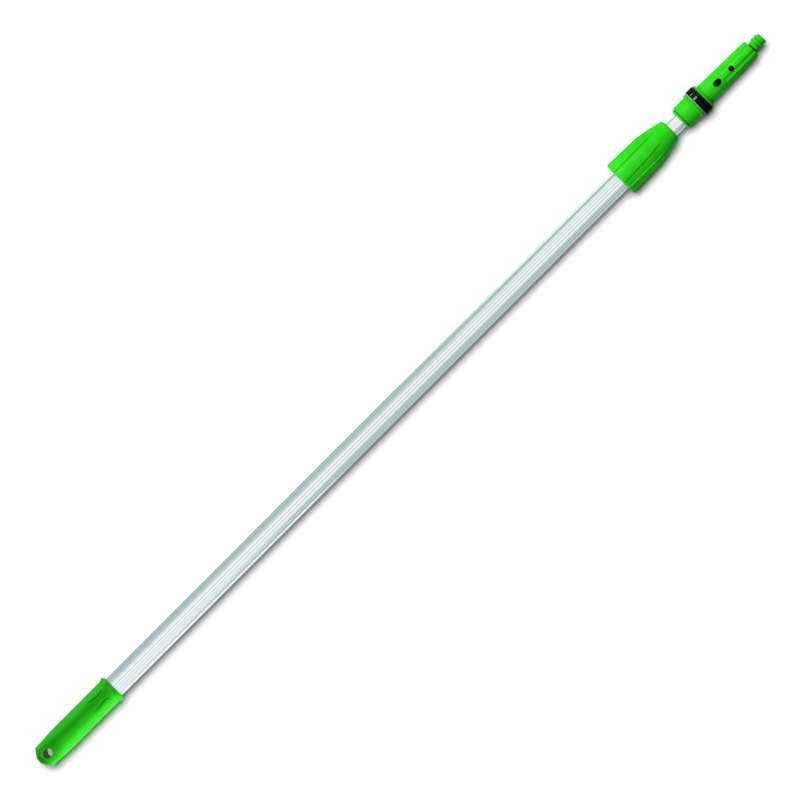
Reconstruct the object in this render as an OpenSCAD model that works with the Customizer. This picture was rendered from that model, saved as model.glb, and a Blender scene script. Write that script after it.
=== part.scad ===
// Telescopic pole for window cleaning tools: two aluminium tubes, a twist lock collar,
// an end grip with a hang hole, and a tool head with a lock ring, a snap button and a threaded tip.
// The pole lies along X on the plane Z = 0, with the grip at -X, the tip at +X and the button on top.

/* [Outer tube] */
// Outside diameter of the outer tube
outer_od = 31.75; // [30:0.25:36]
// Wall of the outer tube
outer_wall = 1.5; // [1.3:0.1:1.8]
// Length of the outer tube
outer_len = 1130.5; // [600:0.5:2000]
// Number of shallow grooves along the outer tube
groove_count = 24; // [8:1:30]
// Radius of the round bottom of a groove
groove_r = 0.9; // [0.7:0.1:1.2]
// Depth of a groove
groove_depth = 0.45; // [0.2:0.05:0.6]

/* [Inner tube] */
// Outside diameter of the inner tube
inner_od = 24; // [22:0.25:24.5]
// Wall of the inner tube
inner_wall = 1.5; // [1.3:0.1:1.8]
// Distance from the outer tube's end in the grip to the inner tube's end when the pole is put down
inner_rest = 40; // [34:0.5:80]
// Length of inner tube that shows between collar and head when the pole is put down
inner_show = 18.8; // [10:0.1:60]
// Width of the two guide keys that run in the inner tube
key_w = 2.4; // [2:0.1:3.5]
// Depth of the two lengthwise key grooves
key_depth = 0.8; // [0.6:0.05:0.9]
// Length of the guide bush outside the inner tube
bush_len = 14; // [8:0.5:15]
// Length of the guide bush inside the inner tube
bush_plug_len = 26; // [20:0.5:40]
// Wall of the guide bush inside the inner tube
bush_wall = 3.9; // [2:0.1:5]
// Distance from the inner tube's end to the pin of the guide bush
bush_pin_inset = 14; // [8:0.5:16]

/* [End grip] */
// Length of the grip
grip_len = 143.5; // [140:0.5:200]
// Wall of the grip round the tube
grip_wall = 3; // [3:0.1:5]
// Distance from the grip's end to the end of the tube inside it
grip_seat = 46; // [46:0.5:60]
// Width of the hang tab where the nose begins
tab_w = 35; // [30:0.5:38]
// Thickness of the hang tab where the nose begins
tab_t = 26; // [14:0.5:30]
// Squareness of the tab's cross section, where 1 is an ellipse
tab_square = 0.7; // [0.6:0.05:1]
// Length of the tapered nose at the end of the tab
nose_len = 8.9; // [6:0.1:10]
// Width of the blunt end of the nose
nose_w = 9; // [6:0.5:20]
// Thickness of the blunt end of the nose
nose_t = 13; // [6:0.5:14]
// Diameter of the hang hole
hang_d = 14; // [8:0.5:15]
// Distance from the grip's end to the centre of the hang hole
hang_at = 16; // [15:0.5:18]
// Height of the rolled rim above the grip's body
rim_h = 2; // [1:0.1:4]
// Length of the rolled rim
rim_len = 9.5; // [7:0.5:14]
// Width of the flats on the rim that stop the pole from rolling
rim_flat_w = 16; // [6:0.5:17]
// Depth of the thumb recess in front of the rim
thumb_depth = 0.8; // [0.3:0.1:1.2]
// Width of the thumb recess
thumb_w = 13; // [8:0.5:16]
// Width of the slope at each side of the thumb recess
thumb_side = 2; // [1:0.1:3]
// Length of the thumb recess
thumb_len = 40; // [25:0.5:50]
// Diameter of the pin that holds the grip on the tube
grip_pin_d = 4; // [3:0.5:5]
// Distance from the tube's end to the grip's pin
grip_pin_inset = 14; // [8:0.5:20]
// Depth of the grip's pin below the grip's surface
grip_pin_sink = 0.5; // [0.2:0.1:1]

/* [Twist lock] */
// Wall of the ferrule outside the tube
ferrule_wall = 2.4; // [2:0.1:3]
// Depth of the cup in the ferrule that holds the collet
cup_len = 20; // [16:0.5:24]
// Thickness of the web between the tube's end and the cup
web_t = 2; // [1.5:0.1:3]
// Diameter of the ferrule rivets
rivet_d = 3; // [2:0.5:4]
// Distance from the ferrule's end to the edge of its rivet holes
rivet_inset = 3; // [2:0.5:5]
// Wall of the ferrule's spigot under the end of a rivet
rivet_floor = 0.4; // [0.3:0.1:0.8]
// Distance from the ferrule's rivets to the lock thread
thread_inset = 5; // [3:0.5:8]
// Advance of the lock thread in one turn
lock_pitch = 4; // [3:0.5:5]
// Height of the lock thread
lock_thread_h = 1.1; // [0.7:0.1:1.3]
// Turns of lock thread
lock_turns = 3; // [2:0.5:4]
// Angle through which the collar turns between locked and free
twist_angle = 120; // [60:5:150]
// Wall of the collet at its finger tips
finger_wall = 1.4; // [1:0.1:1.8]
// How much thicker the collet is at the root of its fingers
finger_taper = 1.2; // [0.8:0.1:1.4]
// Length of the collet
collet_len = 30; // [27:0.5:32]
// Number of slots in the collet
slot_count = 6; // [4:1:8]
// Width of a collet slot
slot_w = 1.4; // [1:0.1:2]
// Length of the closed end of the collet, below its slots
collet_root = 6; // [4:0.5:10]
// Wall of the wedge ring at its thin end
wedge_wall = 1.2; // [1:0.1:1.5]
// Thickness of the wedge ring's upper flange
wedge_flange = 2.6; // [2:0.1:4]

/* [Collar] */
// Length of the collar
collar_len = 97; // [90:1:120]
// Wall of the collar between the thread bore and the hollows of its outside
collar_wall = 6; // [4:0.1:7]
// Length of the collar's mouth round the inner tube
mouth_len = 8; // [6:0.5:10]
// Wall of the collar at its mouth
mouth_wall = 4.3; // [4:0.1:5]
// Length of the collar's nearly straight part
straight_len = 49; // [36:1:58]
// Fall of the collar's radius over its straight part
straight_fall = 1.2; // [0.5:0.1:2]
// Bow of the collar's straight part, where 1 is a plain cone
straight_bow = 1.5; // [1:0.05:2]
// Bow of the collar's crown, where 1 is a plain cone
crown_bow = 1.45; // [1:0.05:1.8]
// Rounding of the collar's two ends
collar_edge = 1.5; // [0.8:0.1:2]
// Number of grip ribs on the collar
rib_count = 8; // [6:1:10]
// Width of a rib at the collar's base
rib_w = 9; // [5:0.5:10]
// Height of a rib above the hollows
rib_h = 0.9; // [0.5:0.1:1.5]
// Width of the slope at each side of a rib
rib_edge = 1.2; // [0.6:0.1:2]
// Bluntness of a rib's point, where 1 is a straight taper
rib_point = 0.35; // [0.2:0.05:1]
// Length of a rib from the collar's base to its point
rib_len = 68; // [40:1:72]
// Angle of the nearest rib from the top of the pole
rib_turn = 5; // [0:1:9]
// Thickness of the snap ring in the collar's base
retainer_t = 2.4; // [1.6:0.1:3]
// Distance from the collar's base to the snap ring
retainer_inset = 1.2; // [1:0.1:3]
// Depth of the snap ring's groove in the collar
retainer_grip = 1; // [0.6:0.1:2]
// Width of the split in the snap ring
retainer_split = 3; // [2:0.5:6]

/* [Tool head] */
// Length of the sleeve below its flange
sleeve_len = 24.8; // [20:0.1:40]
// Wall of the sleeve
sleeve_wall = 5.6; // [4:0.1:6]
// Length of the stepped lip at the lower end of the sleeve
lip_len = 3.5; // [2.5:0.1:6]
// Step from the sleeve in to its lip
lip_step = 1.3; // [0.8:0.1:2]
// Chamfer of the edges of the sleeve, the flanges and the ring
small_edge = 0.5; // [0.3:0.1:0.6]
// Diameter of the rivet that holds the sleeve, tube and plug together
socket_pin_d = 3.2; // [2:0.2:4]
// Diameter of the two flanges
flange_d = 40.5; // [39:0.5:44]
// Thickness of the sleeve's flange
flange_t = 5.2; // [4.5:0.1:8]
// Thickness of the cone's flange
cone_flange_t = 3.8; // [2.5:0.1:6]
// Diameter of the lock ring
ring_d = 42; // [40.5:0.5:46]
// Width of the space between the flanges
ring_w = 13; // [10:0.1:18]
// Diameter of the neck that the lock ring turns on
neck_d = 31; // [29:0.5:33]
// Thickness of the washer under the lock ring
washer_t = 0.5; // [0.3:0.1:1]
// Length of the plug inside the inner tube
plug_len = 52; // [30:1:80]
// Thickness of the plug's head on the end of the inner tube
plug_head_t = 3.6; // [2:0.1:4]
// Diameter of the plug's core inside the cone
core_d = 22.8; // [22.6:0.1:23.4]
// Length of the cone
cone_len = 91; // [85:0.5:120]
// Diameter of the cone at its flange
cone_base_d = 31.6; // [30.6:0.1:34]
// Diameter of the cone at its tip
cone_tip_d = 27.8; // [27.6:0.1:30]
// Solid length at the tip of the cone
cone_solid = 15; // [10:0.5:22]
// Number of flutes in the cone
flute_count = 8; // [6:2:8]
// Radius of a flute
flute_r = 7; // [5:0.5:8]
// Depth of a flute
flute_depth = 0.8; // [0.5:0.1:1]
// Distance from the cone's flange to the start of the flutes
flute_at = 33; // [33:0.5:50]

/* [Button and screw] */
// Length of the snap button along the pole
button_len = 12.6; // [10:0.1:14]
// Width of the snap button
button_w = 7.9; // [6:0.1:8.2]
// Height that the button stands out of the cone
button_proud = 1.6; // [0.8:0.1:2]
// Width of the lip round the foot of the button
button_lip = 1.2; // [0.8:0.1:1.4]
// Thickness of that lip
button_lip_t = 1.8; // [1:0.1:2]
// Radius of the button's domed top
button_dome_r = 14; // [9:0.5:30]
// Distance from the cone's flange to the middle of the button
button_at = 24.4; // [20:0.1:26]
// Depth of the button's pocket below the axis
pocket_depth = 4; // [2:0.5:6]
// Wire of the button spring
spring_wire = 0.9; // [0.6:0.1:1]
// Diameter of the button spring over its wire
spring_d = 6; // [5:0.1:6.4]
// Turns of the button spring
spring_turns = 5; // [4:0.5:6]
// Diameter of the cone screw's head
screw_head_d = 7.6; // [6:0.1:8]
// Diameter of the cone screw's shank
screw_d = 4; // [3:0.5:5]
// Length of the cone screw's shank
screw_len = 9; // [6:0.5:11]
// Depth of the screw head's seat below the cone's surface
screw_sink = 1.6; // [1.4:0.1:2.4]
// Height of the straight edge of the screw's head
screw_edge_h = 0.6; // [0.3:0.1:1]
// Height of the dome of the screw's head
screw_dome_h = 0.8; // [0.4:0.1:1.2]
// Distance from the cone's flange to the screw
screw_at = 51.4; // [45:0.1:58]

/* [Threaded tip] */
// Outside diameter of the tip's thread
tip_d = 19.05; // [16:0.05:22]
// Diameter at the root of the tip's thread
tip_root_d = 15.8; // [12:0.1:15.8]
// Pitch of the tip's thread
tip_pitch = 6.35; // [4.5:0.05:7]
// Length of the threaded tip
tip_len = 21.2; // [18:0.1:30]
// Plain length between the cone and the tip's thread
tip_neck = 1.2; // [0.5:0.1:3]
// Length of the chamfer at the tip's end
tip_nose = 2; // [1:0.1:4]

/* [Clearances] */
// Gap round a piece that is pressed in or fixed
fixed_gap = 0.1; // [0.05:0.01:0.15]
// Gap round a piece that turns
run_gap = 0.1; // [0.05:0.01:0.2]
// Gap round a piece that slides freely
slide_gap = 0.3; // [0.2:0.05:0.4]

/* [Hidden] */
$fn = 96;
cut = 1;

// Radii
outer_r = outer_od / 2;
outer_bore_r = outer_r - outer_wall;
inner_r = inner_od / 2;
inner_bore_r = inner_r - inner_wall;
mouth_r = inner_r + slide_gap;
ferrule_r = outer_r + fixed_gap + ferrule_wall;
finger_tip_r = inner_r + run_gap + finger_wall;
collet_r = finger_tip_r + finger_taper;
wedge_r = collet_r + run_gap + wedge_wall;
thread_bore_r = ferrule_r + lock_thread_h + slide_gap;
hollow_r = thread_bore_r + collar_wall;
collar_r = hollow_r + rib_h;
collar_mouth_r = mouth_r + mouth_wall;
grip_r = outer_r + fixed_gap + grip_wall;
rim_r = grip_r + rim_h;
sleeve_bore_r = inner_r + fixed_gap;
sleeve_r = sleeve_bore_r + sleeve_wall;
neck_r = neck_d / 2;
core_r = core_d / 2;
cone_bore_r = core_r + fixed_gap;

// Places along the pole, from the end of the grip
twist_travel = lock_pitch * twist_angle / 360;
tube_to = grip_seat + outer_len;
cup_to = tube_to + cup_len;
collet_from = tube_to + web_t + fixed_gap;
collet_to = collet_from + collet_len;
wedge_from = cup_to + slide_gap;
wedge_to = collet_to + slide_gap + wedge_flange;
collar_to = wedge_to + run_gap + mouth_len;
collar_from = collar_to - collar_len;
retainer_from = collar_from + retainer_inset;
ferrule_from = retainer_from + retainer_t + twist_travel + slide_gap;
rivet_at = ferrule_from + rivet_inset + rivet_d / 2;
thread_from = rivet_at + rivet_d / 2 + thread_inset;
thread_to = thread_from + lock_turns * lock_pitch;
head_from = collar_to + inner_show;
flange_from = head_from + sleeve_len;
flange_to = flange_from + flange_t;
inner_to = flange_to - plug_head_t;
inner_from = grip_seat + inner_rest;
ring_to = flange_to + ring_w;
cone_from = ring_to + cone_flange_t;
cone_to = cone_from + cone_len;
pole_len = cone_to + tip_len;
core_to = cone_to - cone_solid;
grip_pin_at = grip_seat + grip_pin_inset;
bush_pin_at = inner_from + bush_pin_inset;
socket_pin_at = head_from + sleeve_len / 2;

// Heights: the pole's axis above the plane it lies on, and the rest above the axis
axis_h = collar_r;
rim_flat_h = circle_at(rim_r, rim_flat_w / 2);
screw_seat = cone_r(screw_at) - screw_sink;
screw_floor = screw_seat - screw_len;
button_foot = circle_at(core_r, button_w / 2 + button_lip) - button_lip_t - fixed_gap;

// Threads: steps in a turn, depth of a ridge's root in its body, and a ridge's widths as shares of the pitch
thread_steps = 24;
thread_root = 0.5;
lock_root_share = 0.5;
lock_crest_share = 0.22;
tip_root_share = 0.72;
tip_crest_share = 0.3;

// Turns: of the grooves from the top as a share of their spacing, and of both threads' starts in degrees
groove_shift = 0.7;
collar_start = 180;
tip_start = 45;

green = [0.18, 0.72, 0.14];
silver = [0.78, 0.8, 0.82];
black = [0.08, 0.08, 0.1];
nylon = [0.85, 0.85, 0.8];
steel = [0.6, 0.62, 0.64];

function smooth(t) = let(c = min(1, max(0, t))) c * c * (3 - 2 * c);
function mix(a, b, t) = a + (b - a) * t;

// Height of a circle above its centre at a distance to the side
function circle_at(r, side) = sqrt(r * r - side * side);

// Radius of the cone's outside at a distance from its flange
function cone_r(d) = mix(cone_base_d, cone_tip_d, d / cone_len) / 2;

// Lays a piece that stands on Z along the pole's own axis: its Z becomes X and its Y points up
module lay(at = 0) {
    translate([at - pole_len / 2, 0, axis_h])
        rotate([90, 0, 90])
            children();
}

// Closed skin over rings of points, each ring counterclockwise seen from the last one
module skin(rings) {
    n = len(rings[0]);
    rows = len(rings);
    points = [for (ring = rings) each ring];
    sides = [for (i = [0 : rows - 2], j = [0 : n - 1])
        let(a = i * n + j, b = i * n + (j + 1) % n) each [[a, a + n, b + n], [a, b + n, b]]];
    bottom = [for (j = [0 : n - 1]) j];
    top = [for (j = [n - 1 : -1 : 0]) (rows - 1) * n + j];
    polyhedron(points, concat([bottom], sides, [top]), convexity = 8);
}

// Right hand thread ridge that rises from r_in out or in to r_out and runs out at both ends
module ridge(r_in, r_out, w_in, w_out, pitch, turns, start = 0) {
    count = round(turns * thread_steps);
    fade = thread_steps / 3;
    least = 0.05;
    side = sign(r_out - r_in);
    skin([for (k = [0 : count])
        let(a = start + 360 * k / thread_steps, z = pitch * k / thread_steps,
            full = min(1, least + k / fade, least + (count - k) / fade),
            r = mix(r_in, r_out, full), c = cos(a), s = sin(a))
        [[r_in * c, r_in * s, z - side * w_in / 2], [r_in * c, r_in * s, z + side * w_in / 2],
         [r * c, r * s, z + side * w_out / 2], [r * c, r * s, z - side * w_out / 2]]]);
}

// Upright oval prism, long along X
module oval(length, width, h) {
    linear_extrude(h) {
        square([length - width, width], center = true);
        for (side = [-1, 1]) translate([side * (length - width) / 2, 0]) circle(d = width);
    }
}

// Places a radial piece on top of the pole: its Z points up from the axis
module upright(at) {
    translate([at - pole_len / 2, 0, axis_h]) children();
}

// Places a radial piece under the pole: its Z points down from the axis
module downward(at) {
    upright(at) rotate([180, 0, 0]) children();
}

// Radial pins on both sides of the pole
module side_pins(at, r, from, to) {
    for (side = [-90, 90])
        upright(at) rotate([side, 0, 0]) translate([0, 0, from]) cylinder(r = r, h = to - from);
}

module outer_tube() {
    color(silver) difference() {
        lay(grip_seat) linear_extrude(outer_len) difference() {
            circle(outer_r);
            circle(outer_bore_r);
            for (k = [0 : groove_count - 1])
                rotate(90 + (k + groove_shift) * 360 / groove_count)
                    translate([outer_r - groove_depth + groove_r, 0]) circle(groove_r);
        }
        side_pins(rivet_at, rivet_d / 2 + fixed_gap, inner_r, outer_r + cut);
        downward(grip_pin_at) cylinder(d = grip_pin_d + 2 * fixed_gap, h = outer_r + cut);
    }
}

// How far the grip has grown from its tab, 0, to its round body, 1, at a distance from its end
function tab_to_body(u) = smooth((u - nose_len) / (grip_seat - nose_len));

// Half width of the grip: the nose is nearly straight sided
function grip_half_w(u) =
    let(full = mix(tab_w / 2, grip_r, tab_to_body(u)), nose_bow = 0.85)
    u < nose_len ? mix(nose_w / 2, full, pow(u / nose_len, nose_bow)) : full;

// Half thickness of the grip: the nose is rounded
function grip_half_t(u) =
    mix(mix(tab_t / 2, grip_r, tab_to_body(u)), nose_t / 2, pow(1 - min(1, u / nose_len), 2));

// Height of the rolled rim, as half a wave
function rim_swell(u) = rim_h * sin(180 * min(1, max(0, (u - grip_len + rim_len) / rim_len)));

// Depth of the thumb recess, which deepens towards the rim, at a distance from the middle of the grip's face
function thumb(u, from_middle) =
    let(front = grip_len - rim_len)
    u > front ? 0 : thumb_depth * smooth((u - front + thumb_len) / thumb_len)
        * (1 - smooth((from_middle - thumb_w / 2) / thumb_side));

function grip_ring(u) =
    let(w = grip_half_w(u) + rim_swell(u), t = grip_half_t(u) + rim_swell(u),
        power = mix(tab_square, 1, tab_to_body(u)))
    [for (a = [0 : 6 : 354])
        let(x = w * sign(cos(a)) * pow(abs(cos(a)), power),
            y = t * pow(abs(sin(a)), power) - thumb(u, abs(x)))
        [x, sign(sin(a)) * min(y, rim_flat_h), u]];

module end_grip() {
    nose = [for (k = [0 : 4]) nose_len * k / 4];
    swell = [for (k = [1 : 8]) mix(nose_len, grip_seat, k / 8)];
    body = [for (k = [1 : 8]) mix(grip_seat, grip_len - rim_len, k / 8)];
    rim = [for (k = [1 : 8]) mix(grip_len - rim_len, grip_len, k / 8)];
    color(green) difference() {
        lay() skin([for (u = concat(nose, swell, body, rim)) grip_ring(u)]);
        lay(grip_seat) cylinder(r = outer_r + fixed_gap, h = grip_len);
        upright(hang_at) cylinder(d = hang_d, h = 4 * grip_r, center = true);
        downward(grip_pin_at) cylinder(d = grip_pin_d + 2 * fixed_gap, h = rim_r);
    }
}

module grip_pin() {
    from = outer_bore_r + fixed_gap;
    color(steel) downward(grip_pin_at) translate([0, 0, from])
        cylinder(d = grip_pin_d, h = grip_r - grip_pin_sink - from);
}

module clamp_ferrule() {
    spigot_r = outer_bore_r - fixed_gap;
    slot_r = outer_r + fixed_gap;
    cup_r = collet_r + fixed_gap;
    color(nylon) difference() {
        union() {
            lay(ferrule_from) cylinder(r = ferrule_r, h = cup_to - ferrule_from);
            lay(thread_from)
                ridge(ferrule_r - thread_root, ferrule_r + lock_thread_h, lock_root_share * lock_pitch,
                    lock_crest_share * lock_pitch, lock_pitch, lock_turns);
        }
        lay(ferrule_from - cut) difference() {
            cylinder(r = mouth_r, h = cup_to - ferrule_from + 2 * cut);
            for (side = [0, 180]) rotate(side)
                translate([-key_w / 2, inner_r - key_depth + slide_gap, 0])
                    cube([key_w, inner_r, tube_to - ferrule_from + cut]);
        }
        lay(ferrule_from - cut) difference() {
            cylinder(r = slot_r, h = tube_to - ferrule_from + cut + fixed_gap);
            cylinder(r = spigot_r, h = tube_to);
        }
        lay(tube_to + web_t) cylinder(r = cup_r, h = cup_len);
        side_pins(rivet_at, rivet_d / 2 + fixed_gap, mouth_r + rivet_floor, ferrule_r + cut);
    }
}

module ferrule_rivets() {
    color(steel) side_pins(rivet_at, rivet_d / 2, mouth_r + rivet_floor + fixed_gap, ferrule_r - fixed_gap);
}

module collet() {
    bore_r = inner_r + run_gap;
    finger_from = cup_to - collet_from;
    color(nylon) lay(collet_from) difference() {
        rotate_extrude() polygon([[bore_r, 0], [collet_r, 0], [collet_r, finger_from],
            [finger_tip_r, collet_len], [bore_r, collet_len]]);
        for (k = [0 : slot_count - 1]) rotate((k + 0.5) * 360 / slot_count)
            translate([0, -slot_w / 2, collet_root]) cube([collet_r + cut, slot_w, collet_len]);
    }
}

module wedge_ring() {
    low = wedge_from - collet_from;
    slope = finger_taper / (collet_to - cup_to);
    low_r = collet_r - slope * (wedge_from - cup_to) + run_gap;
    color(nylon) lay(collet_from) rotate_extrude() polygon([
        [low_r, low], [wedge_r, low], [wedge_r, wedge_to - collet_from], [mouth_r, wedge_to - collet_from],
        [mouth_r, collet_len + slide_gap], [finger_tip_r + run_gap, collet_len + slide_gap],
        [finger_tip_r + run_gap, collet_len]]);
}

// Radius of the collar over its ribs at a distance from its base
function collar_outer(w) =
    let(shoulder = collar_r - straight_fall, crown_len = collar_len - straight_len)
    w < straight_len ? mix(collar_r, shoulder, pow(w / straight_len, straight_bow))
        : mix(shoulder, collar_mouth_r, pow((w - straight_len) / crown_len, crown_bow));

// How much the rounding of an end takes off the radius at a distance from that end
function end_round(d) = collar_edge * pow(max(0, 1 - d / collar_edge), 2);

// Ribs keep their full height to half their length, then sink and narrow to a point
function collar_ring(w) =
    let(r = collar_outer(w) - end_round(w) - end_round(collar_len - w),
        left = 1 - min(1, w / rib_len), tip_half = 0.05,
        half = rib_w / 2 * pow(left, rib_point) + tip_half, sink = rib_h * smooth(left * 2),
        pitch = 360 / rib_count, deg = 180 / PI / collar_r,
        top = half - min(rib_edge, half) / 2, foot = half + rib_edge / 2,
        offsets = [-foot, -top, -top / 3, top / 3, top, foot])
    [for (k = [0 : rib_count - 1]) let(middle = 90 + rib_turn + k * pitch) each concat(
        [for (i = [0 : 5]) let(a = middle + offsets[i] * deg, q = r - (i == 0 || i == 5 ? sink : 0))
            [q * cos(a), q * sin(a), w]],
        [for (f = [-1 : 1]) let(a = middle + pitch / 2 + f / 2 * (pitch / 2 - foot * deg))
            [(r - sink) * cos(a), (r - sink) * sin(a), w]])];

module twist_collar() {
    crown_to = collar_len - collar_edge;
    stops = concat([0, collar_edge / 2, collar_edge],
        [for (k = [1 : 5]) mix(collar_edge, straight_len, k / 5)],
        [for (k = [1 : 9]) mix(straight_len, crown_to, k / 9)],
        [collar_len - collar_edge / 2, collar_len]);
    thread_end = thread_to + lock_pitch + twist_travel - collar_from;
    neck_end = cup_to + slide_gap - collar_from;
    shoulder = wedge_to + run_gap - collar_from;
    color(green) lay(collar_from) union() {
        difference() {
            skin([for (w = stops) collar_ring(w)]);
            translate([0, 0, -cut]) cylinder(r = thread_bore_r, h = thread_end + cut);
            cylinder(r = ferrule_r + slide_gap, h = neck_end);
            cylinder(r = wedge_r + slide_gap, h = shoulder);
            cylinder(r = mouth_r, h = collar_len + cut);
            translate([0, 0, retainer_from - fixed_gap - collar_from])
                cylinder(r = thread_bore_r + retainer_grip, h = retainer_t + 2 * fixed_gap);
        }
        translate([0, 0, thread_from - collar_from])
            ridge(thread_bore_r + thread_root, ferrule_r + slide_gap, lock_root_share * lock_pitch,
                lock_crest_share * lock_pitch, lock_pitch, lock_turns, start = collar_start);
    }
}

module collar_retainer() {
    color(black) lay(retainer_from) difference() {
        cylinder(r = thread_bore_r + retainer_grip - fixed_gap, h = retainer_t);
        translate([0, 0, -cut]) cylinder(r = outer_r + slide_gap, h = retainer_t + 2 * cut);
        translate([0, -retainer_split / 2, -cut]) cube([collar_r, retainer_split, retainer_t + 2 * cut]);
    }
}

module inner_tube() {
    groove_w = key_w + 2 * slide_gap;
    color(silver) difference() {
        lay(inner_from) linear_extrude(inner_to - inner_from) difference() {
            circle(inner_r);
            circle(inner_bore_r);
            for (side = [-1, 1]) translate([0, side * inner_r])
                square([groove_w, 2 * key_depth], center = true);
        }
        side_pins(bush_pin_at, rivet_d / 2 + fixed_gap, 0, inner_r + cut);
        downward(socket_pin_at) cylinder(d = socket_pin_d + 2 * fixed_gap, h = inner_r + cut);
    }
}

module guide_bush() {
    guide_r = outer_bore_r - slide_gap;
    plug_r = inner_bore_r - fixed_gap;
    bore_r = plug_r - bush_wall;
    plug_to = bush_len + bush_plug_len;
    color(black) difference() {
        lay(inner_from - bush_len - fixed_gap) rotate_extrude() polygon([
            [bore_r, 0], [guide_r - small_edge, 0], [guide_r, small_edge], [guide_r, bush_len],
            [plug_r, bush_len], [plug_r, plug_to], [bore_r, plug_to]]);
        side_pins(bush_pin_at, rivet_d / 2 + fixed_gap, 0, inner_r);
    }
}

module bush_pin() {
    color(steel) upright(bush_pin_at) rotate([90, 0, 0])
        cylinder(d = rivet_d, h = 2 * (inner_r - fixed_gap), center = true);
}

module spigot_plug() {
    tube_part = inner_bore_r - fixed_gap;
    pocket_len = button_len + 2 * button_lip + 2 * slide_gap;
    pocket_w = button_w + 2 * button_lip + 2 * slide_gap;
    color(black) difference() {
        lay() rotate_extrude() polygon([
            [0, inner_to - plug_len], [tube_part, inner_to - plug_len], [tube_part, inner_to + fixed_gap],
            [inner_r, inner_to + fixed_gap], [inner_r, flange_to + fixed_gap],
            [neck_r, flange_to + fixed_gap], [neck_r, ring_to - fixed_gap],
            [core_r, ring_to - fixed_gap], [core_r, core_to - fixed_gap], [0, core_to - fixed_gap]]);
        upright(cone_from + button_at) translate([0, 0, -pocket_depth]) oval(pocket_len, pocket_w, core_d);
        upright(cone_from + screw_at) translate([0, 0, screw_floor - fixed_gap])
            cylinder(d = screw_d + 2 * fixed_gap, h = core_d);
        downward(socket_pin_at) translate([0, 0, inner_bore_r / 2 - fixed_gap])
            cylinder(d = socket_pin_d + 2 * fixed_gap, h = inner_r);
    }
}

// Green sleeve: a stepped lip, a straight barrel and a flange that swells out of it
module socket_sleeve() {
    lip_r = sleeve_r - lip_step;
    lip_to = head_from + lip_len;
    flange_r = flange_d / 2;
    swell_to = flange_from + flange_t / 2;
    e = small_edge;
    color(green) difference() {
        lay() rotate_extrude() polygon([
            [sleeve_bore_r, head_from], [lip_r, head_from], [lip_r + e, head_from + e],
            [lip_r + e, lip_to - 2 * e], [lip_r, lip_to - e], [lip_r, lip_to],
            [sleeve_r - e, lip_to], [sleeve_r, lip_to + e], [sleeve_r, flange_from],
            [flange_r - e, swell_to], [flange_r, swell_to + e], [flange_r, flange_to - e],
            [flange_r - e, flange_to], [sleeve_bore_r, flange_to]]);
        downward(socket_pin_at) cylinder(d = socket_pin_d + 2 * fixed_gap, h = sleeve_r + cut);
    }
}

module socket_rivet() {
    color(steel) downward(socket_pin_at) translate([0, 0, inner_bore_r / 2])
        cylinder(d = socket_pin_d, h = sleeve_r - fixed_gap - inner_bore_r / 2);
}

module ring_washer() {
    color(nylon) lay(flange_to + fixed_gap) difference() {
        cylinder(r = flange_d / 2 - small_edge, h = washer_t);
        translate([0, 0, -cut]) cylinder(r = neck_r + fixed_gap, h = washer_t + 2 * cut);
    }
}

module lock_ring() {
    from = flange_to + fixed_gap + washer_t + run_gap;
    to = ring_to - run_gap;
    bore_r = neck_r + run_gap;
    r = ring_d / 2;
    e = small_edge;
    color(black) lay() rotate_extrude() polygon([
        [bore_r, from], [r - e, from], [r, from + e], [r, to - e], [r - e, to], [bore_r, to]]);
}

// Cone's flange, body and the core of its threaded tip
module cone_body() {
    flange_r = flange_d / 2;
    base_r = cone_base_d / 2;
    tip_r = cone_tip_d / 2;
    root_r = tip_root_d / 2;
    e = small_edge;
    lay() rotate_extrude() polygon([
        [0, ring_to], [flange_r - e, ring_to], [flange_r, ring_to + e], [flange_r, cone_from - e],
        [flange_r - e, cone_from], [base_r + e, cone_from], [base_r, cone_from + e],
        [tip_r, cone_to - 2 * e], [tip_r - 2 * e, cone_to], [root_r, cone_to],
        [root_r, pole_len - tip_nose], [root_r - tip_nose / 2, pole_len], [0, pole_len]]);
}

// Thread of the tip, turned down to an exact outside diameter
module tip_thread() {
    crest_r = tip_d / 2;
    facet_r = crest_r / cos(180 / thread_steps) + fixed_gap;
    root_w = tip_root_share * tip_pitch;
    turns = (tip_len - tip_neck - tip_nose / 2 - root_w) / tip_pitch;
    lay(cone_to + tip_neck + root_w / 2) intersection() {
        ridge(tip_root_d / 2 - thread_root, facet_r, root_w, tip_crest_share * tip_pitch, tip_pitch, turns,
            start = tip_start);
        translate([0, 0, -tip_len]) cylinder(r = crest_r, h = 3 * tip_len);
    }
}

// Round cutter for one flute, parallel to the cone's side, with a tapered nose
module flute_cutter() {
    lean = atan((cone_base_d - cone_tip_d) / 2 / cone_len);
    nose = 1.5 * flute_depth;
    reach = cone_len - flute_at + 4 * cut;
    translate([cone_r(flute_at) + flute_r - flute_depth, 0, 0]) rotate([0, -lean, 0])
        rotate_extrude() polygon([[0, -nose], [flute_r - nose, -nose], [flute_r, 3 * nose],
            [flute_r, reach], [0, reach]]);
}

module tool_cone() {
    window = 2 * slide_gap;
    color(green) difference() {
        union() {
            cone_body();
            tip_thread();
        }
        for (k = [0 : flute_count - 1])
            lay(cone_from + flute_at) rotate((k + 0.5) * 360 / flute_count + 90) flute_cutter();
        lay(ring_to - cut) cylinder(r = cone_bore_r, h = core_to - ring_to + cut);
        upright(cone_from + button_at) oval(button_len + window, button_w + window, cone_base_d);
        upright(cone_from + screw_at) {
            cylinder(d = screw_d + 2 * fixed_gap, h = cone_base_d);
            translate([0, 0, screw_seat - fixed_gap])
                cylinder(d = screw_head_d + 2 * fixed_gap, h = cone_base_d);
        }
    }
}

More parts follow.
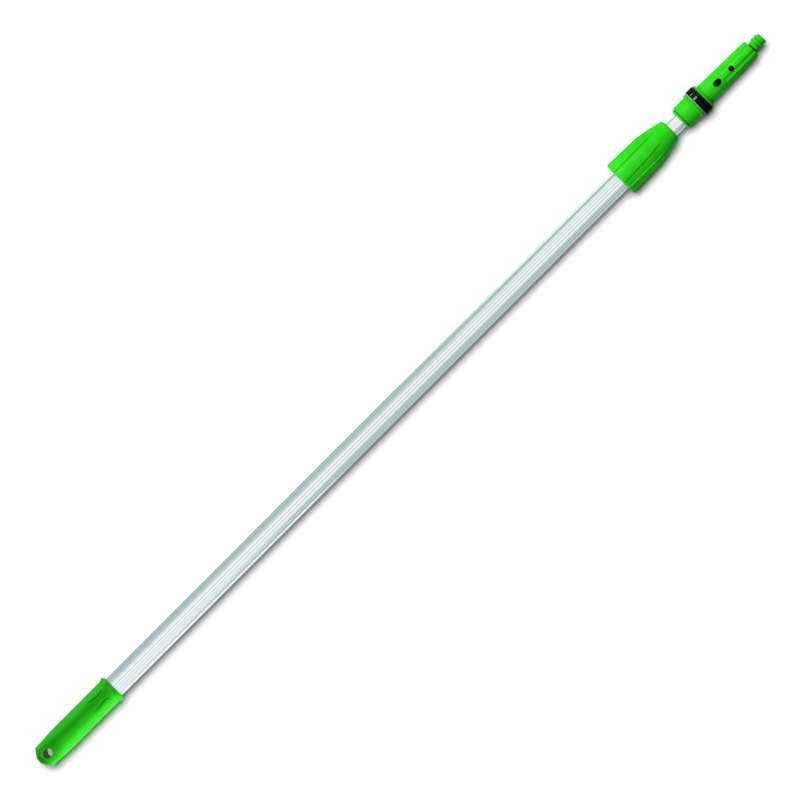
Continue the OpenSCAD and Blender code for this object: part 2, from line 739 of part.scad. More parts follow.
module cone_screw() {
    head_r = screw_head_d / 2;
    edge_h = screw_seat + screw_edge_h;
    color(black) upright(cone_from + screw_at) rotate_extrude() polygon(concat(
        [[0, screw_floor], [screw_d / 2, screw_floor], [screw_d / 2, screw_seat], [head_r, screw_seat]],
        [for (a = [0 : 15 : 75]) [head_r * cos(a), edge_h + screw_dome_h * sin(a)]],
        [[0, edge_h + screw_dome_h]]));
}

// Domed plunger on a lip that is too wide for the cone's window
module snap_button() {
    top = cone_r(button_at) + button_proud;
    color(black) upright(cone_from + button_at) {
        translate([0, 0, button_foot])
            oval(button_len + 2 * button_lip, button_w + 2 * button_lip, button_lip_t);
        intersection() {
            translate([0, 0, button_foot]) oval(button_len, button_w, top);
            translate([0, 0, top - button_dome_r]) sphere(button_dome_r);
        }
    }
}

module button_spring() {
    steps = 12;
    low = -pocket_depth + slide_gap;
    high = button_foot - slide_gap;
    coil_r = (spring_d - spring_wire) / 2;
    wire_r = spring_wire / 2;
    rise = high - low - spring_wire;
    color(steel) upright(cone_from + button_at) translate([0, 0, low + wire_r])
        skin([for (k = [0 : spring_turns * steps])
            let(a = 360 * k / steps, z = rise * k / (spring_turns * steps))
            [for (b = [0 : 60 : 300])
                let(r = coil_r + wire_r * sin(b)) [r * cos(a), r * sin(a), z + wire_r * cos(b)]]]);
}

outer_tube();
end_grip();
grip_pin();
clamp_ferrule();
ferrule_rivets();
collet();
wedge_ring();
twist_collar();
collar_retainer();
inner_tube();
guide_bush();
bush_pin();
spigot_plug();
socket_sleeve();
socket_rivet();
ring_washer();
lock_ring();
tool_cone();
cone_screw();
snap_button();
button_spring();
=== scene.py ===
# %% [markdown]
# A telescopic pole for window cleaning.
# Two aluminium tubes slide in each other, a green collar clamps them, a green grip closes the lower end
# and a green tool head with a black lock ring closes the upper one.
# The construction comes ready made as a frame of solids in metres. This lesson dresses it: every piece
# that shows gets a finer skin, worked out as a grid of points, and a material made of nodes.
# The box of the bare frame is kept first.

# %% Load the frame
import math

import bpy
import numpy as np
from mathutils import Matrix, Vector


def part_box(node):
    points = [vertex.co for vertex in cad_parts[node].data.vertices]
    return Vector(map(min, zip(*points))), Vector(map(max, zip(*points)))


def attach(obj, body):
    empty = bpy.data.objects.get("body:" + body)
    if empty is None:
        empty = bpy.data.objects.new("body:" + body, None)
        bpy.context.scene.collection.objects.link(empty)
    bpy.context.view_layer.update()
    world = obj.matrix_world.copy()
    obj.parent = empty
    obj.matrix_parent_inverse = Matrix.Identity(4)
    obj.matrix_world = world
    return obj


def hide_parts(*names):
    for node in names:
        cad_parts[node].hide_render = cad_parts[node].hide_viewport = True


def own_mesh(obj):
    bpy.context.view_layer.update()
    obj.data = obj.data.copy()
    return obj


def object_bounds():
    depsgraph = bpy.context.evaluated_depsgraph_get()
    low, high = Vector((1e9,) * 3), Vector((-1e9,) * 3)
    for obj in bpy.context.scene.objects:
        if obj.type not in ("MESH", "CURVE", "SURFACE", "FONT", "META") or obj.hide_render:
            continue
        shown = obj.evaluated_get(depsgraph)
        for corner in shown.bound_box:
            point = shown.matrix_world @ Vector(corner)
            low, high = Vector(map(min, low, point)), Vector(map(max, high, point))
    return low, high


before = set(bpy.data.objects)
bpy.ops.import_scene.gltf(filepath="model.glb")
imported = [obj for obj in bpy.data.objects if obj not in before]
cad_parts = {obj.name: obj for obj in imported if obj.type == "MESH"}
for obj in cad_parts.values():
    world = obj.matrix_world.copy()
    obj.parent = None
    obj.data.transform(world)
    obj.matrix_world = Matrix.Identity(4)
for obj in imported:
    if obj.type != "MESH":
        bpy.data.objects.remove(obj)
cad_low, cad_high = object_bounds()
print("frame box", tuple(round(v, 4) for v in cad_high - cad_low))

# %% [markdown]
# Everything on a pole is easiest to say in the pole's own terms: how far along it is, how far from the
# axis, and at what angle. Reading those numbers off the frame, rather than typing them in, keeps each new
# skin on the solid it stands for. Lengths are in millimetres from the grip's end, and angles start at the
# top and turn towards -Y, which is the lower right of the picture.

# %% Places along the pole
MM = 0.001
POLE_START = cad_low.x
tube_low, tube_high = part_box("outer_tube")
AXIS_Z = (tube_low.z + tube_high.z) / 2


def span(node):
    """Start and end of a solid along the pole."""
    low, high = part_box(node)
    return (low.x - POLE_START) / MM, (high.x - POLE_START) / MM


def half_width(node):
    """Half of a solid's width across the pole."""
    low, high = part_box(node)
    return (high.y - low.y) / 2 / MM


def middle_of(node):
    """Middle of a solid along the pole."""
    return sum(span(node)) / 2


def heights(node):
    """Lowest and highest point of a solid over the pole's axis."""
    return tuple((corner.z - AXIS_Z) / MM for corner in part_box(node))


def placed(u, across, up):
    """Points in metres, from millimetres along the pole, across it towards +Y and up from its axis."""
    u, across, up = np.broadcast_arrays(u, across, up)
    return np.stack([POLE_START + u * MM, across * MM, AXIS_Z + up * MM], axis=-1)


def on_pole(u, r, a):
    """Points round the pole: u along it, r from the axis, and the angle a from the top towards -Y."""
    return placed(u, -r * np.sin(a), r * np.cos(a))


def whole_turn(count):
    """Even angles round the pole, as a row."""
    return np.arange(count)[None, :] * 2 * np.pi / count


print("axis height", round(AXIS_Z / MM, 3), "mm, tube from", *(round(v, 1) for v in span("outer_tube")))

# %% [markdown]
# A skin is a grid of points with faces between neighbours. Round the pole the grid always closes on
# itself. Along the pole it either closes too, as on a tube with an inside and an outside, or ends in a
# point at each end. Building the faces as whole arrays is quick. The sign of the volume inside tells
# whether the faces point outwards, and the grid is turned over if they don't.

# %% Skins from grids
SHARP = math.radians(32)


def grid_faces(rows, around, loop):
    """Quads between neighbours of a grid that closes round the pole, and along it where loop is true."""
    i = np.arange(rows if loop else rows - 1)[:, None]
    j = np.arange(around)[None, :]
    here = i * around
    there = (i + 1) % rows * around
    side = (j + 1) % around
    return np.stack([here + j, here + side, there + side, there + j], axis=-1).reshape(-1, 4)


def end_fans(rows, around):
    """Triangles from the first ring to one more point, and from the last ring to another."""
    j = np.arange(around)
    side = (j + 1) % around
    last = (rows - 1) * around
    first_pole = np.full(around, rows * around)
    first_fan = np.stack([side, j, first_pole], axis=1)
    last_fan = np.stack([last + j, last + side, first_pole + 1], axis=1)
    return np.vstack([first_fan, last_fan])


def signed_volume(points, triangles):
    """Volume inside a skin: the sum of a dot (b cross c) over its triangles, divided by six."""
    a, b, c = (points[triangles[:, k]] for k in range(3))
    return np.einsum("ij,ij->", a, np.cross(b, c)) / 6


def shade(mesh):
    """Smooth shading, with a sharp line where two faces meet at a steep angle."""
    mesh.shade_smooth()
    mesh.set_sharp_from_angle(angle=SHARP)


def add_object(name, data):
    """New object in the scene for a mesh, a camera or a lamp."""
    new = bpy.data.objects.new(name, data)
    bpy.context.scene.collection.objects.link(new)
    return new


def make_piece(name, points, loop=False):
    """Mesh object over a grid of points in metres, with its faces pointing outwards."""
    rows, around = points.shape[:2]
    quads = grid_faces(rows, around, loop)
    fans = np.empty((0, 3), int)
    flat = points.reshape(-1, 3)
    if not loop:
        fans = end_fans(rows, around)
        flat = np.vstack([flat, points[[0, -1]].mean(axis=1)])
    triangles = np.vstack([quads[:, [0, 1, 2]], quads[:, [0, 2, 3]], fans])
    turn = -1 if signed_volume(flat, triangles) < 0 else 1
    faces = quads[:, ::turn].tolist() + fans[:, ::turn].tolist()
    mesh = bpy.data.meshes.new(name)
    mesh.from_pydata(flat.tolist(), [], faces)
    shade(mesh)
    print(name, "has", len(triangles), "triangles")
    return add_object(name, mesh)


def smooth(t):
    """Eases from 0 to 1: three t squared minus two t cubed, with t held between 0 and 1."""
    t = np.clip(t, 0.0, 1.0)
    return t * t * (3.0 - 2.0 * t)


def mix(a, b, t):
    """Straight blend from a at t = 0 to b at t = 1."""
    return a + (b - a) * t


def stops(*runs):
    """Places along the pole: each run is (from, to, count), and doubles are dropped."""
    return np.unique(np.concatenate([np.linspace(*run) for run in runs]).round(4))


print("edges over", round(math.degrees(SHARP)), "degrees stay sharp")

# %% [markdown]
# The sleeve and the ring are turned pieces: an outline spun round the pole. A moulded edge is never quite
# sharp, and its small round is what catches the light, so each corner of an outline becomes a short
# curve. Long straight stretches also get points, because smooth shading bends the light over a whole
# face, and short faces keep that bend near the edge.

# %% Turned outlines
EDGE_R = 0.6
EDGE_SHARE = 0.45
ROUND_STEPS = 5
FILL_STEP = 1.5
FILL_APART = 0.2 * FILL_STEP
AROUND = 128


def rounded(corners, closed=True):
    """Outline whose corners become quadratic curves from a cut point before the corner to one after it."""
    p = np.asarray(corners, float)

    def cut(towards):
        """Point on the edge to a neighbour, one radius from the corner or less on a short edge."""
        edge = towards - p
        length = np.linalg.norm(edge, axis=1, keepdims=True)
        return p + edge / length * np.minimum(EDGE_R, EDGE_SHARE * length)

    a = cut(np.roll(p, 1, axis=0))[:, None]
    b = cut(np.roll(p, -1, axis=0))[:, None]
    t = np.linspace(0, 1, ROUND_STEPS)[None, :, None]
    curves = (1 - t) ** 2 * a + 2 * t * (1 - t) * p[:, None] + t**2 * b
    if closed:
        return curves.reshape(-1, 2)
    return np.concatenate([p[:1], curves[1:-1].reshape(-1, 2), p[-1:]])


def filled(outline):
    """The same open outline with a point more at each step, unless one is already near."""
    travel = np.concatenate([[0], np.cumsum(np.linalg.norm(np.diff(outline, axis=0), axis=1))])
    extra = np.arange(0, travel[-1], FILL_STEP)
    apart = np.abs(extra[:, None] - travel).min(axis=1) > FILL_APART
    places = np.sort(np.concatenate([travel, extra[apart]]))
    return np.stack([np.interp(places, travel, outline[:, k]) for k in range(2)], axis=1)


def turned(name, corners):
    """Piece made by spinning a closed outline of (along, from axis) corners round the pole."""
    outline = rounded(corners)
    outline = filled(np.vstack([outline, outline[:1]]))[:-1]
    points = on_pole(outline[:, :1], outline[:, 1:], whole_turn(AROUND))
    return make_piece(name, points, loop=True)


print("turned edges are rounded by", EDGE_R, "mm")

# %% [markdown]
# A finish is a Principled shader with a little unevenness from noise. A constant goes straight on the
# shader's own socket. What varies over the surface comes from noise on Object coordinates, in metres, so
# a scale of 900 gives grains a bit over a millimetre across.

# %% Helpers for finishes
NOISE_LOW, NOISE_HIGH = 0.3, 0.7


def fill(tree, node, **values):
    """Links or sets inputs of a node, where an underscore in a name stands for a space."""
    for key, value in values.items():
        socket = node.inputs[key.replace("_", " ")]
        if isinstance(value, bpy.types.NodeSocket):
            tree.links.new(value, socket)
        else:
            socket.default_value = value
    return node


def add_node(tree, kind, **values):
    """New node with some of its inputs linked or set."""
    return fill(tree, tree.nodes.new(kind), **values)


def start_material(name, color, roughness, metallic=0.0, gloss=0.5):
    """New material with its constants on the Principled shader's own sockets."""
    material = bpy.data.materials.new(name)
    material.use_nodes = True
    tree = material.node_tree
    shader = tree.nodes["Principled BSDF"]
    fill(tree, shader, Base_Color=(*color, 1.0), Roughness=roughness, Metallic=metallic)
    fill(tree, shader, Specular_IOR_Level=gloss)
    return material, tree, shader


def grain(tree, scale, detail=2.0, stretch=(1.0, 1.0, 1.0)):
    """Noise on Object coordinates, with a stretch for each axis."""
    place = tree.nodes.new("ShaderNodeTexCoord").outputs["Object"]
    mapped = add_node(tree, "ShaderNodeMapping", Vector=place, Scale=stretch).outputs["Vector"]
    return add_node(tree, "ShaderNodeTexNoise", Vector=mapped, Scale=scale, Detail=detail).outputs["Fac"]


def spread(tree, value, low, high, start=NOISE_LOW, stop=NOISE_HIGH):
    """Value between start and stop, carried to the range from low to high and held there."""
    node = add_node(tree, "ShaderNodeMapRange", Value=value, From_Min=start, From_Max=stop)
    return fill(tree, node, To_Min=low, To_Max=high).outputs["Result"]


def tint(tree, noise, first, second):
    """Colour that goes from the first to the second as noise rises from low to high."""
    ramp = add_node(tree, "ShaderNodeValToRGB", Fac=noise)
    for element, position, color in zip(ramp.color_ramp.elements, (NOISE_LOW, NOISE_HIGH), (first, second)):
        element.position = position
        element.color = (*color, 1.0)
    return ramp.outputs["Color"]


def blended(tree, share, color, other):
    """Colour that gives way to a fixed other one by a share from 0 to 1."""
    return add_node(tree, "ShaderNodeMixRGB", Fac=share, Color1=color, Color2=(*other, 1.0)).outputs["Color"]


def shelter(tree, distance):
    """How open a point is within a distance in metres: 1 in the open, 0 in a slit."""
    return add_node(tree, "ShaderNodeAmbientOcclusion", Distance=distance).outputs["AO"]


def relief(tree, shader, height, distance, strength):
    """Bump from a height between 0 and 1, whose full height is a distance in metres."""
    bump = add_node(tree, "ShaderNodeBump", Height=height, Strength=strength, Distance=distance)
    fill(tree, shader, Normal=bump.outputs["Normal"])


def coat(piece, material):
    """Gives a piece one finish all over."""
    piece.data.materials.clear()
    piece.data.materials.append(material)


def dress(piece, material, slot, body, *replaced):
    """Gives a new piece its finish, the body it rides on and the solids it replaces. The slot is not used.
    """
    coat(piece, material)
    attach(piece, body)
    if replaced:
        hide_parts(*replaced)


# %% [markdown]
# The green pieces are moulded in one bright plastic, coloured all through. It has a satin skin with a
# fine grain from the mould and patches where the sheen is a little duller from handling. Its edges get
# a painted highlight, a paler green, and its creases get painted shade, a darker green. Cycles has a
# Pointiness output for edges, but it joined points less than a third of a millimetre apart here, and
# these skins are finer than that. So the same number is worked out and kept in the mesh, and grooves
# also get painted shade by how sheltered they are.

# %% Green plastic
GREEN_DEEP = (0.018, 0.530, 0.006)
GREEN_CLEAR = (0.026, 0.610, 0.010)
# The next two tones are a painted highlight for edges and painted shade for creases and grooves.
GREEN_EDGE_HIGHLIGHT = (0.110, 0.900, 0.070)
GREEN_PAINTED_SHADE = (0.004, 0.120, 0.002)
GREEN_GLOSS = 0.06
GREEN_REACH = 0.004
EDGE_HIGHLIGHT_AT = (0.525, 0.58)
CREASE_SHADE_AT = (0.44, 0.49)
GREEN_SHADE_AT = (0.45, 0.97)
EDGE_NOTE = "edge_note"


def note_edges(piece):
    """Keeps a number for each point: the angle from its normal to the mean of its edges, over half a turn.

    That is 0.5 where the surface is flat, more on an edge and less in a crease. Each point then takes
    the mean of its own number and its neighbours'.
    """
    mesh = piece.data
    count = len(mesh.vertices)
    ends, places, normals = (
        np.array([getattr(item, key)[:] for item in items])
        for items, key in ((mesh.edges, "vertices"), (mesh.vertices, "co"), (mesh.vertices, "normal")))
    first, second = ends.T
    away = places[second] - places[first]
    away /= np.linalg.norm(away, axis=1, keepdims=True) + 1e-12
    lean = np.bincount(first, (away * normals[first]).sum(axis=1), count)
    lean -= np.bincount(second, (away * normals[second]).sum(axis=1), count)
    edges = np.bincount(ends.ravel(), minlength=count)
    angle = np.arccos(np.clip(lean / edges, -1, 1)) / np.pi
    around = np.bincount(first, angle[second], count) + np.bincount(second, angle[first], count)
    note = mesh.attributes.new(EDGE_NOTE, "FLOAT", "POINT")
    note.data.foreach_set("value", ((angle + around) / (edges + 1)).astype(np.float32))
    print(piece.name, "edges noted at", count, "points")


def dress_green(piece, body, node):
    """Dresses a moulded piece in the green plastic, once its edges are noted."""
    note_edges(piece)
    dress(piece, GREEN, "green_plastic", body, node)


def green_plastic():
    """Satin green moulding with a fine grain, uneven sheen, painted highlights on edges and painted shade in
    creases.
    """
    material, tree, shader = start_material("green_plastic", GREEN_CLEAR, 0.38, gloss=GREEN_GLOSS)
    body = tint(tree, grain(tree, 26.0, 3.0), GREEN_DEEP, GREEN_CLEAR)
    noted = tree.nodes.new("ShaderNodeAttribute")
    noted.attribute_name = EDGE_NOTE
    point = noted.outputs["Fac"]
    # Painted highlight makes convex edges paler; painted shade darkens creases and sheltered grooves.
    edge_highlight = blended(tree, spread(tree, point, 0.0, 0.6, *EDGE_HIGHLIGHT_AT), body, GREEN_EDGE_HIGHLIGHT)
    crease_shaded = blended(tree, spread(tree, point, 0.7, 0.0, *CREASE_SHADE_AT), edge_highlight, GREEN_PAINTED_SHADE)
    painted_groove_shade = spread(tree, shelter(tree, GREEN_REACH), 0.85, 0.0, *GREEN_SHADE_AT)
    sheen = spread(tree, grain(tree, 90.0, 4.0), 0.42, 0.58)
    fill(tree, shader, Base_Color=blended(tree, painted_groove_shade, crease_shaded, GREEN_PAINTED_SHADE), Roughness=sheen)
    relief(tree, shader, grain(tree, 1400.0), 0.00008, 0.35)
    return material


GREEN = green_plastic()
print("finish", GREEN.name)

# %% [markdown]
# Both tubes are extruded aluminium with a satin anodised skin. The die leaves fine lines along the whole
# length, so the noise is stretched: slow along X and quick across it. The lines change the roughness and
# raise a faint relief, and the colour leans to a cool grey. Where the grooves shelter it, the metal is
# darkened with painted shade.

# %% Anodised aluminium
ALUMINIUM_DARK = (0.78, 0.85, 0.86)
ALUMINIUM_PALE = (0.93, 0.97, 0.98)
# Painted shade tone for the sheltered grooves.
ALUMINIUM_GROOVE_SHADE = (0.10, 0.12, 0.13)
ALUMINIUM_REACH = 0.002
ALUMINIUM_SHADE_AT = (0.5, 0.95)
DRAWN_LINES = (1.2, 1000.0, 1000.0)


def anodised_aluminium():
    """Satin metal with fine drawn lines along the pole."""
    material, tree, shader = start_material("anodised_aluminium", ALUMINIUM_PALE, 0.34, 1.0)
    lines = grain(tree, 1.0, 3.0, DRAWN_LINES)
    metal = tint(tree, lines, ALUMINIUM_DARK, ALUMINIUM_PALE)
    # Painted shade: the metal is darkened where the grooves shelter it.
    painted_groove_shade = spread(tree, shelter(tree, ALUMINIUM_REACH), 0.6, 0.0, *ALUMINIUM_SHADE_AT)
    sheen = spread(tree, lines, 0.20, 0.30)
    fill(tree, shader, Base_Color=blended(tree, painted_groove_shade, metal, ALUMINIUM_GROOVE_SHADE), Roughness=sheen)
    relief(tree, shader, lines, 0.00004, 0.25)
    return material


ALUMINIUM = anodised_aluminium()
print("finish", ALUMINIUM.name)

# %% [markdown]
# The lock ring, the button and the screw are black, with a cool cast. Black plastic shows little colour,
# so its life is in the sheen: a fine grain breaks the highlight, and fingers have polished it in patches.
# The same recipe in other tones makes the nylon, the dull pale grey of the bars on the lock ring and the
# steel.

# %% Black plastic, nylon, pale bars and steel
BLACK_DEEP = (0.0015, 0.002, 0.004)
BLACK_WORN = (0.004, 0.005, 0.009)
NYLON_WARM = (0.54, 0.55, 0.53)
NYLON_PALE = (0.62, 0.64, 0.64)
BAR_TONE_DULL = (0.19, 0.22, 0.23)
BAR_TONE_PALE = (0.26, 0.30, 0.31)
STEEL_DARK = (0.46, 0.47, 0.49)
STEEL_PALE = (0.62, 0.63, 0.65)


def plain_finish(name, first, second, rough_low, rough_high, metallic, grain_scale, gloss=0.1):
    """Finish with a colour that drifts between two tones, an uneven sheen and a fine grain."""
    material, tree, shader = start_material(name, second, rough_high, metallic, gloss)
    tone = tint(tree, grain(tree, 60.0, 4.0), first, second)
    sheen = spread(tree, grain(tree, 150.0, 3.0), rough_low, rough_high)
    fill(tree, shader, Base_Color=tone, Roughness=sheen)
    relief(tree, shader, grain(tree, grain_scale), 0.00006, 0.3)
    return material


BLACK = plain_finish("black_plastic", BLACK_DEEP, BLACK_WORN, 0.30, 0.45, 0.0, 1600.0, 0.02)
NYLON = plain_finish("white_nylon", NYLON_WARM, NYLON_PALE, 0.40, 0.55, 0.0, 1200.0)
PALE_BARS = plain_finish("pale_bars", BAR_TONE_DULL, BAR_TONE_PALE, 0.45, 0.60, 0.0, 2400.0)
STEEL = plain_finish("plain_steel", STEEL_DARK, STEEL_PALE, 0.25, 0.40, 1.0, 2000.0)
print("finishes", [made.name for made in (BLACK, NYLON, PALE_BARS, STEEL)])

# %% [markdown]
# The outer tube is fluted: shallow round grooves run along it for a firm hold. It could be a cylinder
# with a groove pattern in its bump, but the grooves show in the outline of its ends and catch the light,
# so they are real. A loop of the whole section goes out along the outside and back along the bore.

# %% Outer tube
GROOVE_COUNT = 24
GROOVE_R = 0.9
GROOVE_DEPTH = 0.45
GROOVE_SHIFT = 0.7
TUBE_WALL = 1.5
TUBE_RINGS = 30
BORE_RINGS = 3
OUTER_R = half_width("outer_tube")


def groove_angles():
    """Angles of the section's points: nine across each groove and three on each land."""
    pitch = 2 * np.pi / GROOVE_COUNT
    half = math.sqrt(GROOVE_R**2 - (GROOVE_R - GROOVE_DEPTH) ** 2) / OUTER_R
    land = half + (pitch - 2 * half) * np.array([0.06, 0.5, 0.94])
    across = np.concatenate([np.linspace(-half, half, 9), land])
    middles = (np.arange(GROOVE_COUNT)[:, None] + GROOVE_SHIFT) * pitch
    return np.sort((middles + across[None, :]).ravel() % (2 * np.pi))[None, :]


def from_middle(a, count, shift, r):
    """Distance at a radius r to the nearest of even middles, shifted by a part of a pitch."""
    pitch = 2 * np.pi / count
    return np.abs((a / pitch - shift + 0.5) % 1.0 - 0.5) * pitch * r


def fluted_r(a):
    """Radius of the fluted section: full, less how far a round groove of its own radius reaches in."""
    across = np.clip(from_middle(a, GROOVE_COUNT, GROOVE_SHIFT, OUTER_R), 0, GROOVE_R)
    return OUTER_R - np.maximum(0, np.sqrt(GROOVE_R**2 - across**2) - (GROOVE_R - GROOVE_DEPTH))


def tube_points(outside_r, bore_r, start, end, a):
    """Loop of rings that goes out along the outside of a tube and back along its bore."""
    out = np.linspace(start, end, TUBE_RINGS)[:, None]
    back = np.linspace(end, start, BORE_RINGS)[:, None]
    return np.concatenate([on_pole(out, outside_r, a), on_pole(back, bore_r, a)])


angles = groove_angles()
outer_tube = make_piece(
    "outer_tube_skin",
    tube_points(fluted_r(angles), OUTER_R - TUBE_WALL, *span("outer_tube"), angles), loop=True)
dress(outer_tube, ALUMINIUM, "silver_tube", "outer_pole", "outer_tube")

# %% [markdown]
# The inner tube is plain but for two key grooves, one on top and one below, that keep it from turning.
# Their walls are upright, so each wall has two points at nearly the same angle.

# %% Inner tube
INNER_R = half_width("inner_tube")
KEY_GROOVE_W = 3.0
KEY_GROOVE_DEPTH = 0.8
KEY_FLOOR_TO = 0.985
KEY_LAND_FROM = 1.06


def key_section():
    """Angles and radii of the inner tube's section: round, with a flat bottomed groove on top and below."""
    half = math.asin(KEY_GROOVE_W / 2 / INNER_R)
    land_from = half * KEY_LAND_FROM
    floor_a = np.linspace(-half, half, 9) * KEY_FLOOR_TO
    land_a = np.concatenate([[half], np.linspace(land_from, np.pi - land_from, 60), [np.pi - half]])
    floor_r = (INNER_R - KEY_GROOVE_DEPTH) / np.cos(floor_a)
    a = np.concatenate([floor_a, land_a, floor_a + np.pi, land_a + np.pi])
    land_r = np.full(land_a.shape, INNER_R)
    return a[None, :], np.concatenate([floor_r, land_r, floor_r, land_r])[None, :]


key_a, key_r = key_section()
inner_tube = make_piece(
    "inner_tube_skin", tube_points(key_r, INNER_R - TUBE_WALL, *span("inner_tube"), key_a), loop=True)
dress(inner_tube, ALUMINIUM, "silver_tube", "inner_pole", "inner_tube")

# %% [markdown]
# The end grip changes section along its length: a rounded nose, a tab with a hang hole, a round body and
# a rolled rim. One formula gives the whole skin. A superellipse, which is an ellipse with its sine and
# cosine raised to a power, goes from a soft square at the tab to round at the body.

# %% End grip
GRIP_END = span("end_grip")[1]
GRIP_SEAT = span("outer_tube")[0]
RIM_H = 2.0
RIM_LEN = 9.5
RIM_RISE = 5.0
RIM_FALL = 4.8
RIM_FROM = GRIP_END - RIM_LEN
RIM_FLAT_H = heights("end_grip")[1]
GRIP_R = half_width("end_grip") - RIM_H
FIXED_GAP = 0.1
GRIP_BORE_R = OUTER_R + FIXED_GAP
TAB_HALF_W = 17.5
TAB_HALF_T = 13.0
TAB_SQUARE = 0.7
NOSE_LEN = 8.9
NOSE_HALF_W = 4.5
NOSE_HALF_T = 3.5
NOSE_SLOPE = 6.5
NOSE_FALL = 1.4
NOSE_BOW = 0.85
NOSE_EDGE = 1.6


def tab_to_body(u):
    """How far the grip has grown from its tab, 0, to its round body, 1."""
    return smooth((u - NOSE_LEN) / (GRIP_SEAT - NOSE_LEN))


def quarter_round(d, length):
    """Share that a quarter circle takes off at a distance d from an end: 1 at the end, 0 past its length."""
    return 1 - np.sqrt(1 - np.clip(1 - d / length, 0, 1) ** 2)


def rim_swell(u):
    """Rolled rim: it rises with the square of the way to its crest, then falls as a quarter round."""
    rise = np.clip((u - RIM_FROM) / RIM_RISE, 0, 1) ** 2
    return RIM_H * rise - RIM_FALL * quarter_round(GRIP_END - u, RIM_LEN - RIM_RISE)


def grip_half_w(u):
    """Half width: the nose is nearly straight sided and its end has a small round."""
    nose = np.clip(u / NOSE_LEN, 0, 1) ** NOSE_BOW
    full = mix(NOSE_HALF_W, mix(TAB_HALF_W, GRIP_R, tab_to_body(u)), nose)
    return full - NOSE_EDGE * quarter_round(u, NOSE_EDGE) + rim_swell(u)


def grip_half_t(u):
    """Half thickness: the nose slopes down to its end, steeper the nearer it is."""
    full = mix(TAB_HALF_T, GRIP_R, tab_to_body(u))
    return mix(full, NOSE_HALF_T, np.clip(1 - u / NOSE_SLOPE, 0, 1) ** NOSE_FALL) + rim_swell(u)


print("grip", round(GRIP_END, 1), "mm long")

# %% [markdown]
# In front of the rim two raised pads leave a thumb recess between them. The recess is wide, narrows to a
# waist and then flares round the ends of the pads, where it fades away. Its depth is a smooth step across
# each crease with a finer groove along it, because the crease itself shows as a thin dark line.

# %% Thumb recess
RECESS_FROM = 94.0
RECESS_FADE = 17.0
RECESS_DEPTH = 1.0
RECESS_HALF_W = 7.4
RECESS_SHIFT = -1.7
RECESS_WAIST = 1.3
RECESS_WAIST_AT = 121.0
RECESS_WAIST_LEN = 9.0
RECESS_FLARE = 12.0
RECESS_FLARE_AT = 126.8
RECESS_SOFTEN = 4.5
RECESS_END = 127.0
CREASE_W = 1.1
CREASE_SOFT_W = 8.0
CREASE_GROOVE = 0.6
CREASE_GROOVE_W = 0.7
SIDE_SHARE = 0.25
GRIP_AROUND = 240


def recess_half(u):
    """Half width of the recess: a waist as a bell curve, then a flare up to the rim."""
    waist = RECESS_WAIST * np.exp(-(((u - RECESS_WAIST_AT) / RECESS_WAIST_LEN) ** 2))
    flare = smooth((u - RECESS_FLARE_AT) / (RIM_FROM - RECESS_FLARE_AT))
    return RECESS_HALF_W - waist + RECESS_FLARE * flare


def recess_depth(u, across):
    """Depth of the recess: a step at its creases with a finer groove along them, softer where they flare."""
    fade = smooth((u - RECESS_FROM) / RECESS_FADE) * (1 - smooth((u - RECESS_END) / (RIM_FROM - RECESS_END)))
    beyond = np.abs(across - RECESS_SHIFT) - recess_half(u)
    flared = smooth((u - RECESS_FLARE_AT) / RECESS_SOFTEN)
    step = 1 - smooth(beyond / mix(CREASE_W, CREASE_SOFT_W, flared) + 0.5)
    groove = CREASE_GROOVE * (1 - flared) * np.exp(-((beyond / CREASE_GROOVE_W) ** 2))
    return fade * RECESS_DEPTH * (step + groove)


def grip_skin(u, a):
    """Superellipse with the half width and half thickness above, less the recess, and flat over the rim."""
    power = mix(TAB_SQUARE, 1.0, tab_to_body(u))
    across = grip_half_w(u) * np.sign(np.sin(a)) * np.abs(np.sin(a)) ** power
    up = grip_half_t(u) * np.abs(np.cos(a)) ** power
    up = up - recess_depth(u, across) * smooth(np.abs(np.cos(a)) / SIDE_SHARE)
    return placed(u, -across, np.sign(np.cos(a)) * np.minimum(up, RIM_FLAT_H))


grip_u = stops((0, NOSE_EDGE, 8), (NOSE_EDGE, NOSE_LEN, 16), (NOSE_LEN, GRIP_SEAT, 40),
               (GRIP_SEAT, RECESS_FROM, 12), (RECESS_FROM, RIM_FROM, 70), (RIM_FROM, GRIP_END, 28))[:, None]
grip_a = whole_turn(GRIP_AROUND)
bore_u = np.array([GRIP_END, GRIP_END - 1.0, GRIP_SEAT])[:, None]
grip = make_piece(
    "end_grip_skin", np.concatenate([grip_skin(grip_u, grip_a), on_pole(bore_u, GRIP_BORE_R, grip_a)]))

# %% [markdown]
# The hang hole runs straight through the tab. A grid has no holes, so a cutter is taken out of the grip
# with a Boolean. The cutter flares where it meets the grip's surface, which leaves the rounded lip of a
# moulded hole. A plain round cutter makes the hole for the pin in the underside.

# %% Hang hole
HOLE_R = 7.0
HOLE_LIP = 0.9
HANG_AT = 16.0
UPRIGHT_AROUND = 96
CUT_FLARE = 0.5
CUT_PAST = 3.0
PIN_PAST = 2.0
SLOT_STEEP = 1e3


def slot_shift(half_slot, a):
    """Shift along a slot that draws the two halves of a circle apart."""
    return half_slot * np.clip(np.cos(a) * SLOT_STEEP, -1, 1)


def upright_piece(name, outline, at, half_slot=0.0):
    """Piece that stands on the pole: rings of (height, offset) round a slot with round ends."""
    a = whole_turn(UPRIGHT_AROUND)
    height, out = outline[:, :1], outline[:, 1:]
    u = at + slot_shift(half_slot, a) + out * np.cos(a)
    return make_piece(name, placed(u, out * np.sin(a), height))


